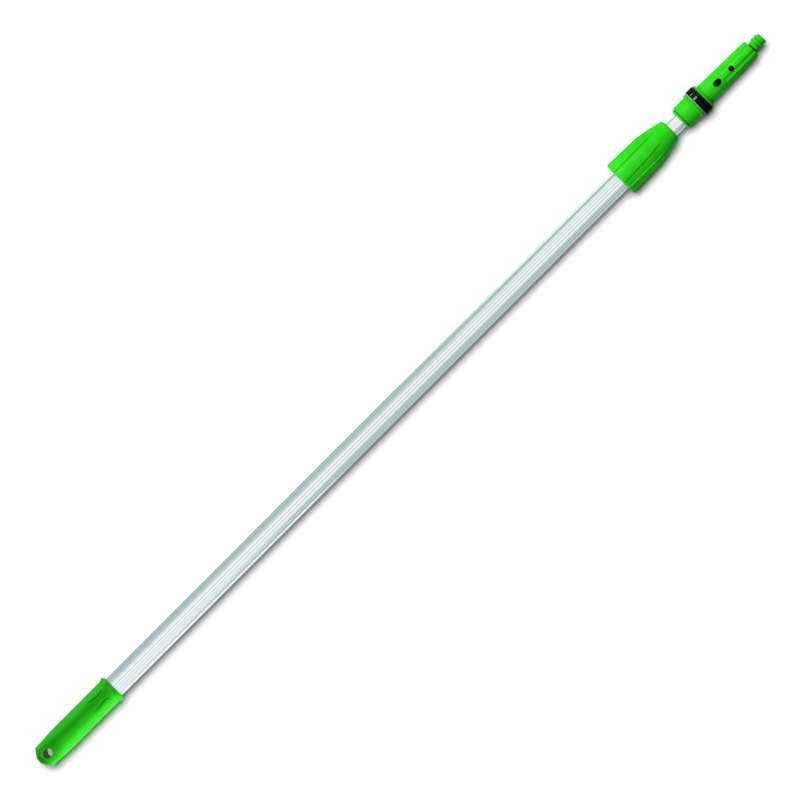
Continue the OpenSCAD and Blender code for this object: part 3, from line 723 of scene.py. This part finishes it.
def cut_away(piece, cutter):
    """Takes the cutter out of the piece for good and removes the cutter."""
    modifier = piece.modifiers.new("cut", "BOOLEAN")
    modifier.operation = "DIFFERENCE"
    modifier.solver = "EXACT"
    modifier.object = cutter
    graph = bpy.context.evaluated_depsgraph_get()
    result = bpy.data.meshes.new_from_object(piece.evaluated_get(graph))
    piece.modifiers.remove(modifier)
    piece.data = result
    shade(result)
    bpy.data.objects.remove(cutter)
    print(piece.name, "cut, now", len(result.polygons), "faces")


def drill_below(piece, node, bore_r, outside_r):
    """Takes a hole for a pin out of a piece's underside, from inside its bore to past its outside."""
    r = half_width(node) + FIXED_GAP
    hole = np.array([[PIN_PAST - bore_r, r], [-outside_r - PIN_PAST, r]])
    cut_away(piece, upright_piece("pin_cutter", hole, middle_of(node)))


def grip_top(u, across):
    """Height of the tab over its middle plane: the superellipse solved for its height."""
    power = mix(TAB_SQUARE, 1.0, tab_to_body(u))
    share = np.abs(across) / grip_half_w(u)
    return grip_half_t(u) * (1 - share ** (2 / power)) ** (power / 2)


def hole_points():
    """Rings from above the tab to below it, that open out as a quarter round where they meet its skin."""
    turn = np.linspace(0, np.pi / 2, 7)[:, None]
    b = whole_turn(UPRIGHT_AROUND)
    out = np.concatenate([HOLE_R + HOLE_LIP * (1 - np.cos(turn)), [[HOLE_R + HOLE_LIP + CUT_FLARE]]])
    rise = np.concatenate([HOLE_LIP * (np.sin(turn) - 1), [[CUT_PAST]]])
    u, across = HANG_AT + out * np.cos(b), out * np.sin(b)
    height = grip_top(u, across) + rise
    return np.concatenate([placed(u, across, height)[::-1], placed(u, across, -height)])


cut_away(grip, make_piece("hole_cutter", hole_points()))
drill_below(grip, "grip_pin", OUTER_R, GRIP_R)
dress_green(grip, "outer_pole", "end_grip")

# %% [markdown]
# The collar is the nut of the twist lock. Its outside is a drum that bows in to the mouth, with broad
# ribs that run up from the base and end in points. The drum runs over the ribs, and the hollows between
# them are taken off it, with a narrow slope at each side of a rib. A rib narrows and sinks along the
# collar, so both its edges meet in a point. The inside is a plain stepped bore.

# %% Twist collar
COLLAR_FROM, COLLAR_TO = span("twist_collar")
COLLAR_LEN = COLLAR_TO - COLLAR_FROM
COLLAR_R = AXIS_Z / MM
SLIDE_GAP = 0.3
MOUTH_WALL = 4.3
MOUTH_R = INNER_R + SLIDE_GAP
COLLAR_MOUTH_R = MOUTH_R + MOUTH_WALL
STRAIGHT_LEN = 49.0
STRAIGHT_FALL = 1.2
STRAIGHT_BOW = 1.5
CROWN_BOW = 1.45
BASE_EDGE = 1.9
BASE_DROP = 3.4
MOUTH_EDGE = 2.8
RIB_COUNT = 8
RIB_W = 10.6
RIB_H = 1.2
RIB_EDGE = 0.9
RIB_LEN = 80.0
RIB_POINT = 0.35
RIB_SINK = 0.25
RIB_SHIFT = 4 / 45
RIB_AROUND = 40
BORE_BEVEL = 0.4
MOUTH_LEN = 8.0
WEDGE_ROOM = 22.8
NECK_FROM = 33.6
SNAP_FROM, SNAP_TO = 1.1, 3.7
LOCK_BORE_R = 19.775
NECK_BORE_R = 18.675
WEDGE_BORE_R = 16.3
SNAP_BORE_R = 20.775


def collar_drum(w):
    """Radius over the ribs: a slow power fall along the straight part, then a quicker one to the mouth."""
    shoulder = COLLAR_R - STRAIGHT_FALL
    low = mix(COLLAR_R, shoulder, np.clip(w / STRAIGHT_LEN, 0, 1) ** STRAIGHT_BOW)
    rise = np.clip((w - STRAIGHT_LEN) / (COLLAR_LEN - STRAIGHT_LEN), 0, 1)
    high = mix(shoulder, COLLAR_MOUTH_R, rise**CROWN_BOW)
    return np.where(w < STRAIGHT_LEN, low, high)


def collar_outside(w, a):
    """Drum less the hollows: outside the ribs the radius sinks by the rib's height, which fades upwards."""
    left = 1 - np.clip(w / RIB_LEN, 0, 1)
    half = RIB_W / 2 * left**RIB_POINT
    across = from_middle(a, RIB_COUNT, RIB_SHIFT, COLLAR_R)
    hollow = smooth((across - half) / RIB_EDGE + 0.5) * RIB_H * smooth(left / RIB_SINK)
    base = BASE_DROP * quarter_round(w, BASE_EDGE)
    mouth = MOUTH_EDGE * quarter_round(COLLAR_LEN - w, MOUTH_EDGE)
    return collar_drum(w) - base - mouth - hollow


crown_to = COLLAR_LEN - MOUTH_EDGE
collar_w = stops((0, BASE_EDGE, 10), (BASE_EDGE, STRAIGHT_LEN, 40), (STRAIGHT_LEN, crown_to, 60),
                 (crown_to, COLLAR_LEN, 9))[:, None]
collar_a = whole_turn(RIB_COUNT * RIB_AROUND)
collar_skin = on_pole(COLLAR_FROM + collar_w, collar_outside(collar_w, collar_a), collar_a)
mouth_from = COLLAR_LEN - MOUTH_LEN
neck_to = COLLAR_LEN - WEDGE_ROOM
bore = np.array([
    [COLLAR_LEN, MOUTH_R + BORE_BEVEL], [COLLAR_LEN - BORE_BEVEL, MOUTH_R], [mouth_from, MOUTH_R],
    [mouth_from, WEDGE_BORE_R], [neck_to, WEDGE_BORE_R], [neck_to, NECK_BORE_R], [NECK_FROM, NECK_BORE_R],
    [NECK_FROM, LOCK_BORE_R], [SNAP_TO, LOCK_BORE_R], [SNAP_TO, SNAP_BORE_R], [SNAP_FROM, SNAP_BORE_R],
    [SNAP_FROM, LOCK_BORE_R], [BORE_BEVEL, LOCK_BORE_R], [0.0, LOCK_BORE_R + BORE_BEVEL]])
collar_bore = on_pole(COLLAR_FROM + bore[:, :1], bore[:, 1:], collar_a)
collar = make_piece("twist_collar_skin", np.concatenate([collar_skin, collar_bore]), loop=True)
dress_green(collar, "twist_collar", "twist_collar")

# %% [markdown]
# The sleeve holds the tool head on the inner tube. Its lower end has a lip and a groove, its barrel is
# plain, and its upper end is a flange with a fine notch. The black lock ring sits on that flange. Both
# are turned pieces, so a short list of corners is enough.

# %% Sleeve and lock ring
SLEEVE_FROM, SLEEVE_TO = span("socket_sleeve")
FLANGE_R = half_width("socket_sleeve")
SLEEVE_R = 17.7
SLEEVE_BORE_R = INNER_R + FIXED_GAP
LIP_LEN = 3.8
LIP_STEP = 0.8
LIP_R = SLEEVE_R - LIP_STEP
LIP_SLOPE = 1.3
LIP_FALL = 1.8
GROOVE_W = 1.3
GROOVE_R_LOSS = 1.6
FLANGE_T = 5.8
FLANGE_SLOPE = 1.5
FLANGE_GROOVE = 0.8
RING_FROM, RING_TO = span("lock_ring")
RING_R = half_width("lock_ring")
RING_BORE_R = 15.6
NOTCH_AT = 2.6
NOTCH_END = 1.8

flange_from = SLEEVE_TO - FLANGE_T
notch_from = SLEEVE_TO - NOTCH_AT
notch_to = SLEEVE_TO - NOTCH_END
notch_r = FLANGE_R - FLANGE_GROOVE
lip_to = SLEEVE_FROM + LIP_LEN
sleeve = turned("socket_sleeve_skin", [
    (SLEEVE_FROM, SLEEVE_BORE_R), (SLEEVE_FROM, LIP_R - LIP_FALL), (SLEEVE_FROM + LIP_SLOPE, LIP_R),
    (lip_to - GROOVE_W, LIP_R), (lip_to - GROOVE_W, LIP_R - GROOVE_R_LOSS),
    (lip_to, LIP_R - GROOVE_R_LOSS), (lip_to, SLEEVE_R),
    (flange_from, SLEEVE_R), (flange_from + FLANGE_SLOPE, FLANGE_R), (notch_from, FLANGE_R),
    (notch_from, notch_r), (notch_to, notch_r), (notch_to, FLANGE_R), (SLEEVE_TO, FLANGE_R),
    (SLEEVE_TO, SLEEVE_BORE_R)])
dress_green(sleeve, "inner_pole", "socket_sleeve")
ring = turned("lock_ring_skin", [
    (RING_FROM, RING_BORE_R), (RING_FROM, RING_R), (RING_TO, RING_R), (RING_TO, RING_BORE_R)])
dress(ring, BLACK, "black_plastic", "lock_ring", "lock_ring")

# %% [markdown]
# The tool cone carries the tools. Its flange is a turned outline. Its slow taper with shallow flutes and
# the coarse thread at its tip are one radius as a function of the place along the pole and the angle. The
# thread is a wave whose phase turns with the angle, so it climbs one pitch in each turn.

# %% Tool cone
CONE_FROM, CONE_TO = span("tool_cone")
CONE_FLANGE_T = 3.8
CREST_AT = 0.9
CREST_W = 1.1
CREST_DROP = 1.4
CONE_LEN = 91.0
CONE_SOLID = 15.0
CONE_BODY_AT = 2.0
CONE_BASE_R = 15.8
CONE_TIP_R = 13.9
FLUTE_COUNT = 8
FLUTE_R = 7.0
FLUTE_DEPTH = 1.2
FLUTE_AT = 33.0
FLUTE_NOSE = 4.5
FLUTE_EASE = 6.0
TIP_R = 9.525
TIP_ROOT_R = 7.9
TIP_PITCH = 6.35
TIP_START = -math.radians(45)
TIP_ROOT_W = 0.72 * TIP_PITCH
TIP_CREST_W = 0.44 * TIP_PITCH
TIP_NECK = 1.2
TIP_NECK_LOSS = 1.6
TIP_NECK_FADE = 0.8
TIP_NOSE = 2.0
TIP_NOSE_LOSS = 0.7 * TIP_NOSE
JUST_PAST = 0.001
CONE_EDGE = 1.2
CORE_R = 11.5
cone_base = CONE_FROM + CONE_FLANGE_T
tip_base = cone_base + CONE_LEN


def cone_taper(d):
    """Radius of the plain cone at a distance from its flange."""
    return mix(CONE_BASE_R, CONE_TIP_R, np.clip(d / CONE_LEN, 0, 1))


def flute(d, a):
    """Depth of the flutes: how far a round cutter reaches into the cone, eased in over its rounded nose."""
    across = from_middle(a, FLUTE_COUNT, 0.5, CONE_TIP_R)
    nose = np.clip((d - FLUTE_AT) / FLUTE_NOSE, 0, 1)
    depth = FLUTE_DEPTH * np.sqrt(1 - (1 - nose) ** 2)
    reach = np.sqrt(np.maximum(FLUTE_R**2 - across**2, 0)) - FLUTE_R
    return np.maximum(0, depth + reach - across**2 / (2 * CONE_TIP_R))


def thread(d, a):
    """Height of the tip's right hand thread at a distance d from the cone, faded over a third of a turn.

    A crest climbs one pitch in a turn, so a point belongs to the crest that is a whole number of turns away.
    """
    first = TIP_NECK + TIP_ROOT_W / 2
    turns = (CONE_TO - tip_base - TIP_NOSE / 2 - TIP_ROOT_W / 2 - first) / TIP_PITCH
    part = (a - TIP_START) / (2 * np.pi) % 1.0
    turn = (d - first) / TIP_PITCH - part
    wound = np.round(turn) + part
    off = np.abs(turn - np.round(turn)) * TIP_PITCH
    slope = (TIP_ROOT_W - TIP_CREST_W) / 2
    fade = np.clip(np.minimum(wound, turns - wound) * 3, 0, 1)
    return (TIP_R - TIP_ROOT_R) * smooth((TIP_ROOT_W / 2 - off) / slope) * fade


def cone_outside(u, a):
    """Radius of the head past its flange: taper with flutes, neck and threaded tip."""
    d = u - cone_base
    taper = cone_taper(d) - flute(d, a)
    shoulder = CONE_EDGE * quarter_round(tip_base - u, CONE_EDGE)
    tip_d = u - tip_base
    neck = TIP_NECK_LOSS * (1 - smooth((tip_d - TIP_NECK) / TIP_NECK_FADE))
    nose = TIP_NOSE_LOSS * quarter_round(CONE_TO - u, TIP_NOSE)
    tip = TIP_ROOT_R + thread(tip_d, a) - neck - nose
    return np.where(u <= tip_base, taper - shoulder, tip)


body_from = cone_base + CONE_BODY_AT
flute_from = cone_base + FLUTE_AT
eased_at = flute_from + FLUTE_EASE
edge_from = tip_base - CONE_EDGE
cone_u = stops((body_from + 1.0, flute_from, 24), (flute_from, eased_at, 16), (eased_at, edge_from, 24),
               (edge_from, tip_base, 8), (tip_base + JUST_PAST, CONE_TO, 110))[:, None]
cone_a = whole_turn(FLUTE_COUNT * 20)
crest_from = CONE_FROM + CREST_AT
crest_to = crest_from + CREST_W
flange = filled(rounded([
    (CONE_FROM, CORE_R), (CONE_FROM, notch_r), (crest_from, notch_r), (crest_from, FLANGE_R),
    (crest_to, FLANGE_R), (cone_base, FLANGE_R - CREST_DROP), (cone_base, CONE_BASE_R),
    (body_from, cone_taper(CONE_BODY_AT))], closed=False))
cone = make_piece("tool_cone_skin", np.concatenate([
    on_pole(np.array([[tip_base - CONE_SOLID]]), CORE_R, cone_a),
    on_pole(flange[:, :1], flange[:, 1:], cone_a),
    on_pole(cone_u, cone_outside(cone_u, cone_a), cone_a)]))

# %% [markdown]
# A snap button and a screw show on top of the cone. Both sit in openings, so the cone gets an oval window
# and a stepped round seat, cut the same way as the hang hole. The sleeve has a small hole below for the
# rivet that holds it.

# %% Openings in the cone and the sleeve
BUTTON_FIT = 0.3
BUTTON_LIP = 1.2
SCREW_HEAD_H = 1.4
SCREW_HEAD_R = half_width("cone_screw")
SCREW_R = 2.0
SEAT_FIT = 0.4
CUT_LOW, CUT_HIGH = 5.0, 20.0
screw_floor, screw_top = heights("cone_screw")
screw_seat = screw_top - SCREW_HEAD_H
button_from, button_to = span("snap_button")
button_lip_w = half_width("snap_button")
button_half_w = button_lip_w - BUTTON_LIP
button_slot = (button_to - button_from) / 2 - button_lip_w

window_r = button_half_w + BUTTON_FIT
window = np.array([[CUT_LOW, window_r], [CUT_HIGH, window_r]])
cut_away(cone, upright_piece("window_cutter", window, middle_of("snap_button"), button_slot))
hole_r = SCREW_R + FIXED_GAP
seat_r = SCREW_HEAD_R + SEAT_FIT
seat_floor = screw_seat - FIXED_GAP
seat = np.array([[CUT_LOW, hole_r], [seat_floor, hole_r], [seat_floor, seat_r], [CUT_HIGH, seat_r]])
cut_away(cone, upright_piece("seat_cutter", seat, middle_of("cone_screw")))
dress_green(cone, "inner_pole", "tool_cone")
drill_below(sleeve, "socket_rivet", SLEEVE_BORE_R, SLEEVE_R)

# %% [markdown]
# The button's top is a shallow dome with a soft edge. Its height is a function of the distance from the
# middle, so rings of the oval are dropped onto it. The screw has a domed head and is made from rings
# round its own upright axis.

# %% Button and screw
DOME_R = 14.0
BUTTON_EDGE = 0.7
BUTTON_LIP_T = 1.8
DOME_FROM = 1.0
DOME_HUB = 0.05
SCREW_DOME = 0.8
button_foot, button_top = heights("snap_button")


def button_points():
    """Rings from the lip up the side and in over the dome, whose drop is distance squared over 2 R."""
    a = whole_turn(UPRIGHT_AROUND)
    over = np.linspace(DOME_FROM, button_half_w - DOME_HUB, 8)
    inward = np.concatenate([np.linspace(0, BUTTON_EDGE, 8), over])
    out = np.concatenate([[button_lip_w, button_lip_w, button_half_w], button_half_w - inward])[:, None]
    height = np.concatenate([[0, BUTTON_LIP_T, BUTTON_LIP_T], np.full(inward.shape, np.inf)])[:, None]
    x = slot_shift(button_slot, a) + out * np.cos(a)
    y = out * np.sin(a)
    edge = 1 - np.clip((button_half_w - out) / BUTTON_EDGE, 0, 1)
    dome = button_top - (x**2 + y**2) / (2 * DOME_R) - BUTTON_EDGE * (1 - np.sqrt(1 - edge**2))
    return placed(middle_of("snap_button") + x, y, np.minimum(button_foot + height, dome))


button = make_piece("snap_button_skin", button_points())
dress(button, BLACK, "black_plastic", "snap_button", "snap_button")
dome_turn = np.linspace(0, np.pi / 2, 14)[:-1]
dome_height = screw_top - SCREW_DOME * (1 - np.sin(dome_turn))
dome_rows = np.stack([dome_height, SCREW_HEAD_R * np.cos(dome_turn)], axis=1)
screw_rows = np.concatenate([
    [[screw_floor, SCREW_R], [screw_seat, SCREW_R], [screw_seat, SCREW_HEAD_R]], dome_rows])
screw = upright_piece("cone_screw_skin", screw_rows, middle_of("cone_screw"))
dress(screw, BLACK, "black_plastic", "inner_pole", "cone_screw")

# %% [markdown]
# A coil spring sits under the button. Its wire is a circle carried along a helix, and it replaces the
# frame's rigid spring. A spring has to shorten when the button goes down, but nothing here squashes this
# one; it only gets a mesh of its own.

# %% Button spring
SPRING_WIRE_R = 0.45
SPRING_TURNS = 5
spring_low, spring_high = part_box("button_spring")
spring_len = spring_high.z - spring_low.z


def spring_points():
    """Helix: it rises evenly with the turn, and a circle of wire stands on each of its points."""
    turn = np.linspace(0, 2 * np.pi * SPRING_TURNS, 36 * SPRING_TURNS)[:, None]
    wire = whole_turn(12)
    r = half_width("button_spring") - SPRING_WIRE_R * (1 - np.sin(wire))
    rise = spring_len / MM - 2 * SPRING_WIRE_R
    z = SPRING_WIRE_R * (1 + np.cos(wire)) + rise * turn / turn[-1]
    u = middle_of("button_spring") + r * np.cos(turn)
    return placed(u, r * np.sin(turn), heights("button_spring")[0] + z)


coil = make_piece("button_spring_skin", spring_points())
dress(coil, STEEL, "steel", "inner_pole", "button_spring")
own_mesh(coil)
print("spring length", round(spring_len / MM, 2))

# %% [markdown]
# Two pale bars lie on the lock ring. Each is a flat slot shape wrapped round the
# ring, from a little below its surface to a hair above it, so it can't flicker against the black.

# %% Marks on the lock ring
MARK_PROUD = 0.05
MARK_SINK = 0.3
MARK_AT = RING_FROM + 4.0


def ring_mark(name, half_length, half_w, turn):
    """Bar on the ring: a slot shape laid along the pole and bent round the ring at an angle from the top."""
    b = whole_turn(48)
    u = MARK_AT + slot_shift(half_length - half_w, b) + half_w * np.cos(b)
    a = math.radians(turn) + half_w * np.sin(b) / RING_R
    r = np.array([[RING_R - MARK_SINK], [RING_R + MARK_PROUD]])
    mark = make_piece(name, on_pole(u, r, a))
    dress(mark, PALE_BARS, "white_nylon", "lock_ring")


ring_mark("ring_mark_narrow", 2.7, 0.4, -40.0)
ring_mark("ring_mark_wide", 2.9, 1.2, -17.5)

# %% [markdown]
# The pieces inside the pole stay as the frame has them, because little of them is ever seen. They only
# get their finishes: nylon for what clamps and slides, black plastic for plugs and the retainer, steel for
# pins and rivets.

# %% Finishes of the hidden pieces
HIDDEN = {
    STEEL: ("grip_pin", "ferrule_rivets", "bush_pin", "socket_rivet"),
    NYLON: ("clamp_ferrule", "collet", "wedge_ring", "ring_washer"),
    BLACK: ("collar_retainer", "guide_bush", "spigot_plug"),
}
for material, names in HIDDEN.items():
    for name in names:
        coat(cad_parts[name], material)
print("hidden pieces", sum(len(names) for names in HIDDEN.values()))

# %% [markdown]
# The camera looks straight down on the pole from far away with a very long lens, so that nothing leans,
# and is rolled so that the pole runs from the lower left to the upper right. A camera looks along its
# own -Z with +Y up, so turning it about Z is the whole roll.

# %% Camera
CAMERA_FAR = 20.0
ROLL = math.radians(45.05)
LENS = 659.0
LENS_SHIFT = (-0.0012, -0.0007)

lens = bpy.data.cameras.new("camera")
lens.lens = LENS
lens.shift_x, lens.shift_y = LENS_SHIFT
camera = add_object("camera", lens)
camera.location = (0.0, 0.0, AXIS_Z + CAMERA_FAR)
camera.rotation_euler = (0.0, 0.0, -ROLL)
bpy.context.scene.camera = camera
bpy.context.scene.view_settings.view_transform = "Standard"
print("camera at", tuple(round(v, 2) for v in camera.location))

# %% [markdown]
# The pole lies on a white sheet. The camera and mirrors see the sheet's full tone, and all other light
# that bounces off it is dimmer, so that the underside of the pole stays darker than its top. The
# surroundings work the same way, white to look at and dimmer as a source of light.

# %% Floor and surroundings
FLOOR_HALF = 12.0
FLOOR_WHITE = 0.55
FLOOR_DRIFT = 0.01
FLOOR_DIM = 0.2
ROOM_LIGHT = 0.1


def seen(tree):
    """Factor that is 1 for rays from the camera, from mirrors and through clear things."""
    path = tree.nodes.new("ShaderNodeLightPath")
    factor = path.outputs["Is Camera Ray"]
    for kind in ("Is Glossy Ray", "Is Transmission Ray"):
        most = tree.nodes.new("ShaderNodeMath")
        most.operation = "MAXIMUM"
        tree.links.new(factor, most.inputs[0])
        tree.links.new(path.outputs[kind], most.inputs[1])
        factor = most.outputs["Value"]
    return factor


def white_sheet():
    """Matt paper with a faint drift, white to the camera and mirrors and dimmer for all other light."""
    material, tree, shader = start_material("white_sheet", (FLOOR_WHITE,) * 3, 0.9, gloss=0.0)
    tones = [(FLOOR_WHITE + drift,) * 3 for drift in (-FLOOR_DRIFT, FLOOR_DRIFT)]
    paper = tint(tree, grain(tree, 3.0), *tones)
    unseen = spread(tree, seen(tree), 1.0, 0.0, 0.0, 1.0)
    fill(tree, shader, Base_Color=blended(tree, unseen, paper, (FLOOR_DIM,) * 3))
    return material


def stage_sheet(name, corners, faces, *unseen_by):
    """Sheet that is part of the stage, with the kinds of rays that don't see it."""
    mesh = bpy.data.meshes.new(name)
    mesh.from_pydata(corners, [], faces)
    sheet = add_object(name, mesh)
    for rays in unseen_by:
        setattr(sheet, "visible_" + rays, False)
    return sheet


floor_corners = [(x, x * y, 0.0) for x in (-FLOOR_HALF, FLOOR_HALF) for y in (1, -1)]
floor = stage_sheet("floor", floor_corners, [range(4)])
floor.data.materials.append(white_sheet())

world = bpy.data.worlds.new("room")
world.use_nodes = True
bpy.context.scene.world = world
sky = world.node_tree
room = spread(sky, seen(sky), ROOM_LIGHT, 1.0, 0.0, 1.0)
fill(sky, sky.nodes["Background"], Color=(1.0, 1.0, 1.0, 1.0), Strength=room)
print("floor", FLOOR_HALF * 2, "m wide")

# %% [markdown]
# The sheet and the pole are lit apart. Light linking gives a lamp a list of what it lights. A wide soft
# sun from the upper left lights only the sheet, and the pole still blocks it, so the sheet gets one soft
# shadow to the lower right. The other lamps leave the sheet and the tubes out: two low ones beside the
# grip, the right one stronger, and a second sun for the collar and the head, which is the same however
# far the pole is pulled out. The tubes need no lamp, because metal lives on what it mirrors. A narrow
# beam shines through the hang hole. The sheet's sun is too wide to draw a spot there, so an unseen disc
# in the hole stops it, and the beam has its own list of what blocks it, without the disc.

# %% Lamps
MIDDLE = (0.0, 0.0, 0.0)
SUN_FROM = (0.02, 0.25, 1.0)
SUN_WIDE = math.radians(30)
SUN_LEVEL = 6.2
HEAD_FROM = (-0.07, 0.5, 0.61)
HEAD_WIDE = math.radians(28)
HEAD_LEVEL = 3.8
GRIP_SPOT = (-0.62, 0.0, 0.03)
GRIP_LAMP_SIZE = (0.4, 0.2)
GRIP_LAMPS = {"grip_right_lamp": ((-0.58, -0.8, 0.24), 10.2), "grip_left_lamp": ((-0.58, 0.8, 0.28), 5.2)}
HOLE_SPOT = (POLE_START + HANG_AT * MM, 0.0, AXIS_Z)
BEAM_FROM = (HOLE_SPOT[0] - 0.065, 0.03, 0.42)
BEAM_WIDE = math.radians(4)
BEAM_SIZE = 0.01
BEAM_WATTS = 5.0
DISC_CORNERS = 48


def link_list(name, listed, state):
    """Collection of objects for light linking, all of them included or excluded."""
    linked = bpy.data.collections.new(name)
    for number, item in enumerate(listed):
        linked.objects.link(item)
        linked.collection_objects[number].light_linking.link_state = state
    return linked


def add_lamp(name, kind, level, place, target, listed, state):
    """Puts a lamp at a place, turned to a target, with a list of what it includes or excludes."""
    lamp = add_object(name, bpy.data.lights.new(name, kind))
    lamp.data.energy = level
    lamp.location = place
    lamp.rotation_euler = (Vector(target) - Vector(place)).to_track_quat("-Z", "Y").to_euler()
    lamp.light_linking.receiver_collection = link_list(name + "_list", listed, state)
    print(name, "with", level)
    return lamp


unlit = [floor, outer_tube, inner_tube]
sheet_sun = add_lamp("sheet_sun", "SUN", SUN_LEVEL, SUN_FROM, MIDDLE, [floor], "INCLUDE")
sheet_sun.data.angle = SUN_WIDE
head_sun = add_lamp("head_sun", "SUN", HEAD_LEVEL, HEAD_FROM, MIDDLE, [*unlit, grip], "EXCLUDE")
head_sun.data.angle = HEAD_WIDE
for name, (place, watts) in GRIP_LAMPS.items():
    lamp = add_lamp(name, "AREA", watts, place, GRIP_SPOT, unlit, "EXCLUDE")
    lamp.data.shape = "RECTANGLE"
    lamp.data.size, lamp.data.size_y = GRIP_LAMP_SIZE
disc_a = whole_turn(DISC_CORNERS)[0]
disc_corners = placed(HANG_AT + HOLE_R * np.cos(disc_a), HOLE_R * np.sin(disc_a), 0.0)
disc = stage_sheet("hole_disc", disc_corners.tolist(), [range(DISC_CORNERS)], "camera", "diffuse", "glossy")
beam = add_lamp("hole_beam", "SPOT", BEAM_WATTS, BEAM_FROM, HOLE_SPOT, [floor], "INCLUDE")
beam.data.spot_size = BEAM_WIDE
beam.data.shadow_soft_size = BEAM_SIZE
beam.light_linking.blocker_collection = link_list("hole_beam_blockers", [disc], "EXCLUDE")

# %% [markdown]
# In a white room a metal tube looks white all over, so two cool grey cards stand beside it: one on the
# upper left that shrinks away towards the head, and one on the lower right that shrinks away towards the
# grip. Each lies on the sheet near the pole and then stands up. Only mirrors see them, so they give the
# tube its dark bands and leave everything else alone.

# %% Cards for the reflections
CARD_TONE = (0.38, 0.49, 0.50)
CARD_LOW = 0.001
CARD_NEAR = 0.035
CARD_FAR = 0.3
CARD_HIGH = 0.28
CARD_FACES = [[0, 1, 4, 3], [1, 2, 5, 4], [3, 4, 7, 6], [4, 5, 8, 7]]


def grey_card(name, places, side):
    """Bent card on the side of +Y or -Y: full between two places, then down to a line at the third."""
    corners = []
    for x, share in zip(places, (1.0, 1.0, 0.0)):
        near = mix(CARD_FAR, CARD_NEAR, share)
        top = mix(CARD_LOW, CARD_HIGH, share)
        corners += [(x, side * near, CARD_LOW), (x, side * CARD_FAR, CARD_LOW), (x, side * CARD_FAR, top)]
    card = stage_sheet(name, corners, CARD_FACES, "camera", "diffuse", "shadow")
    material, tree, shader = start_material(name, (0.0, 0.0, 0.0), 1.0, gloss=0.0)
    # The card's grey is its own glow, not light from the lamps.
    fill(tree, shader, Emission_Color=(*CARD_TONE, 1.0), Emission_Strength=1.0)
    card.data.materials.append(material)


grey_card("card_upper_left", (-1.2, 0.0, 0.9), 1)
grey_card("card_lower_right", (1.2, -0.1, -0.6), -1)
print("cards", CARD_HIGH, "m high")
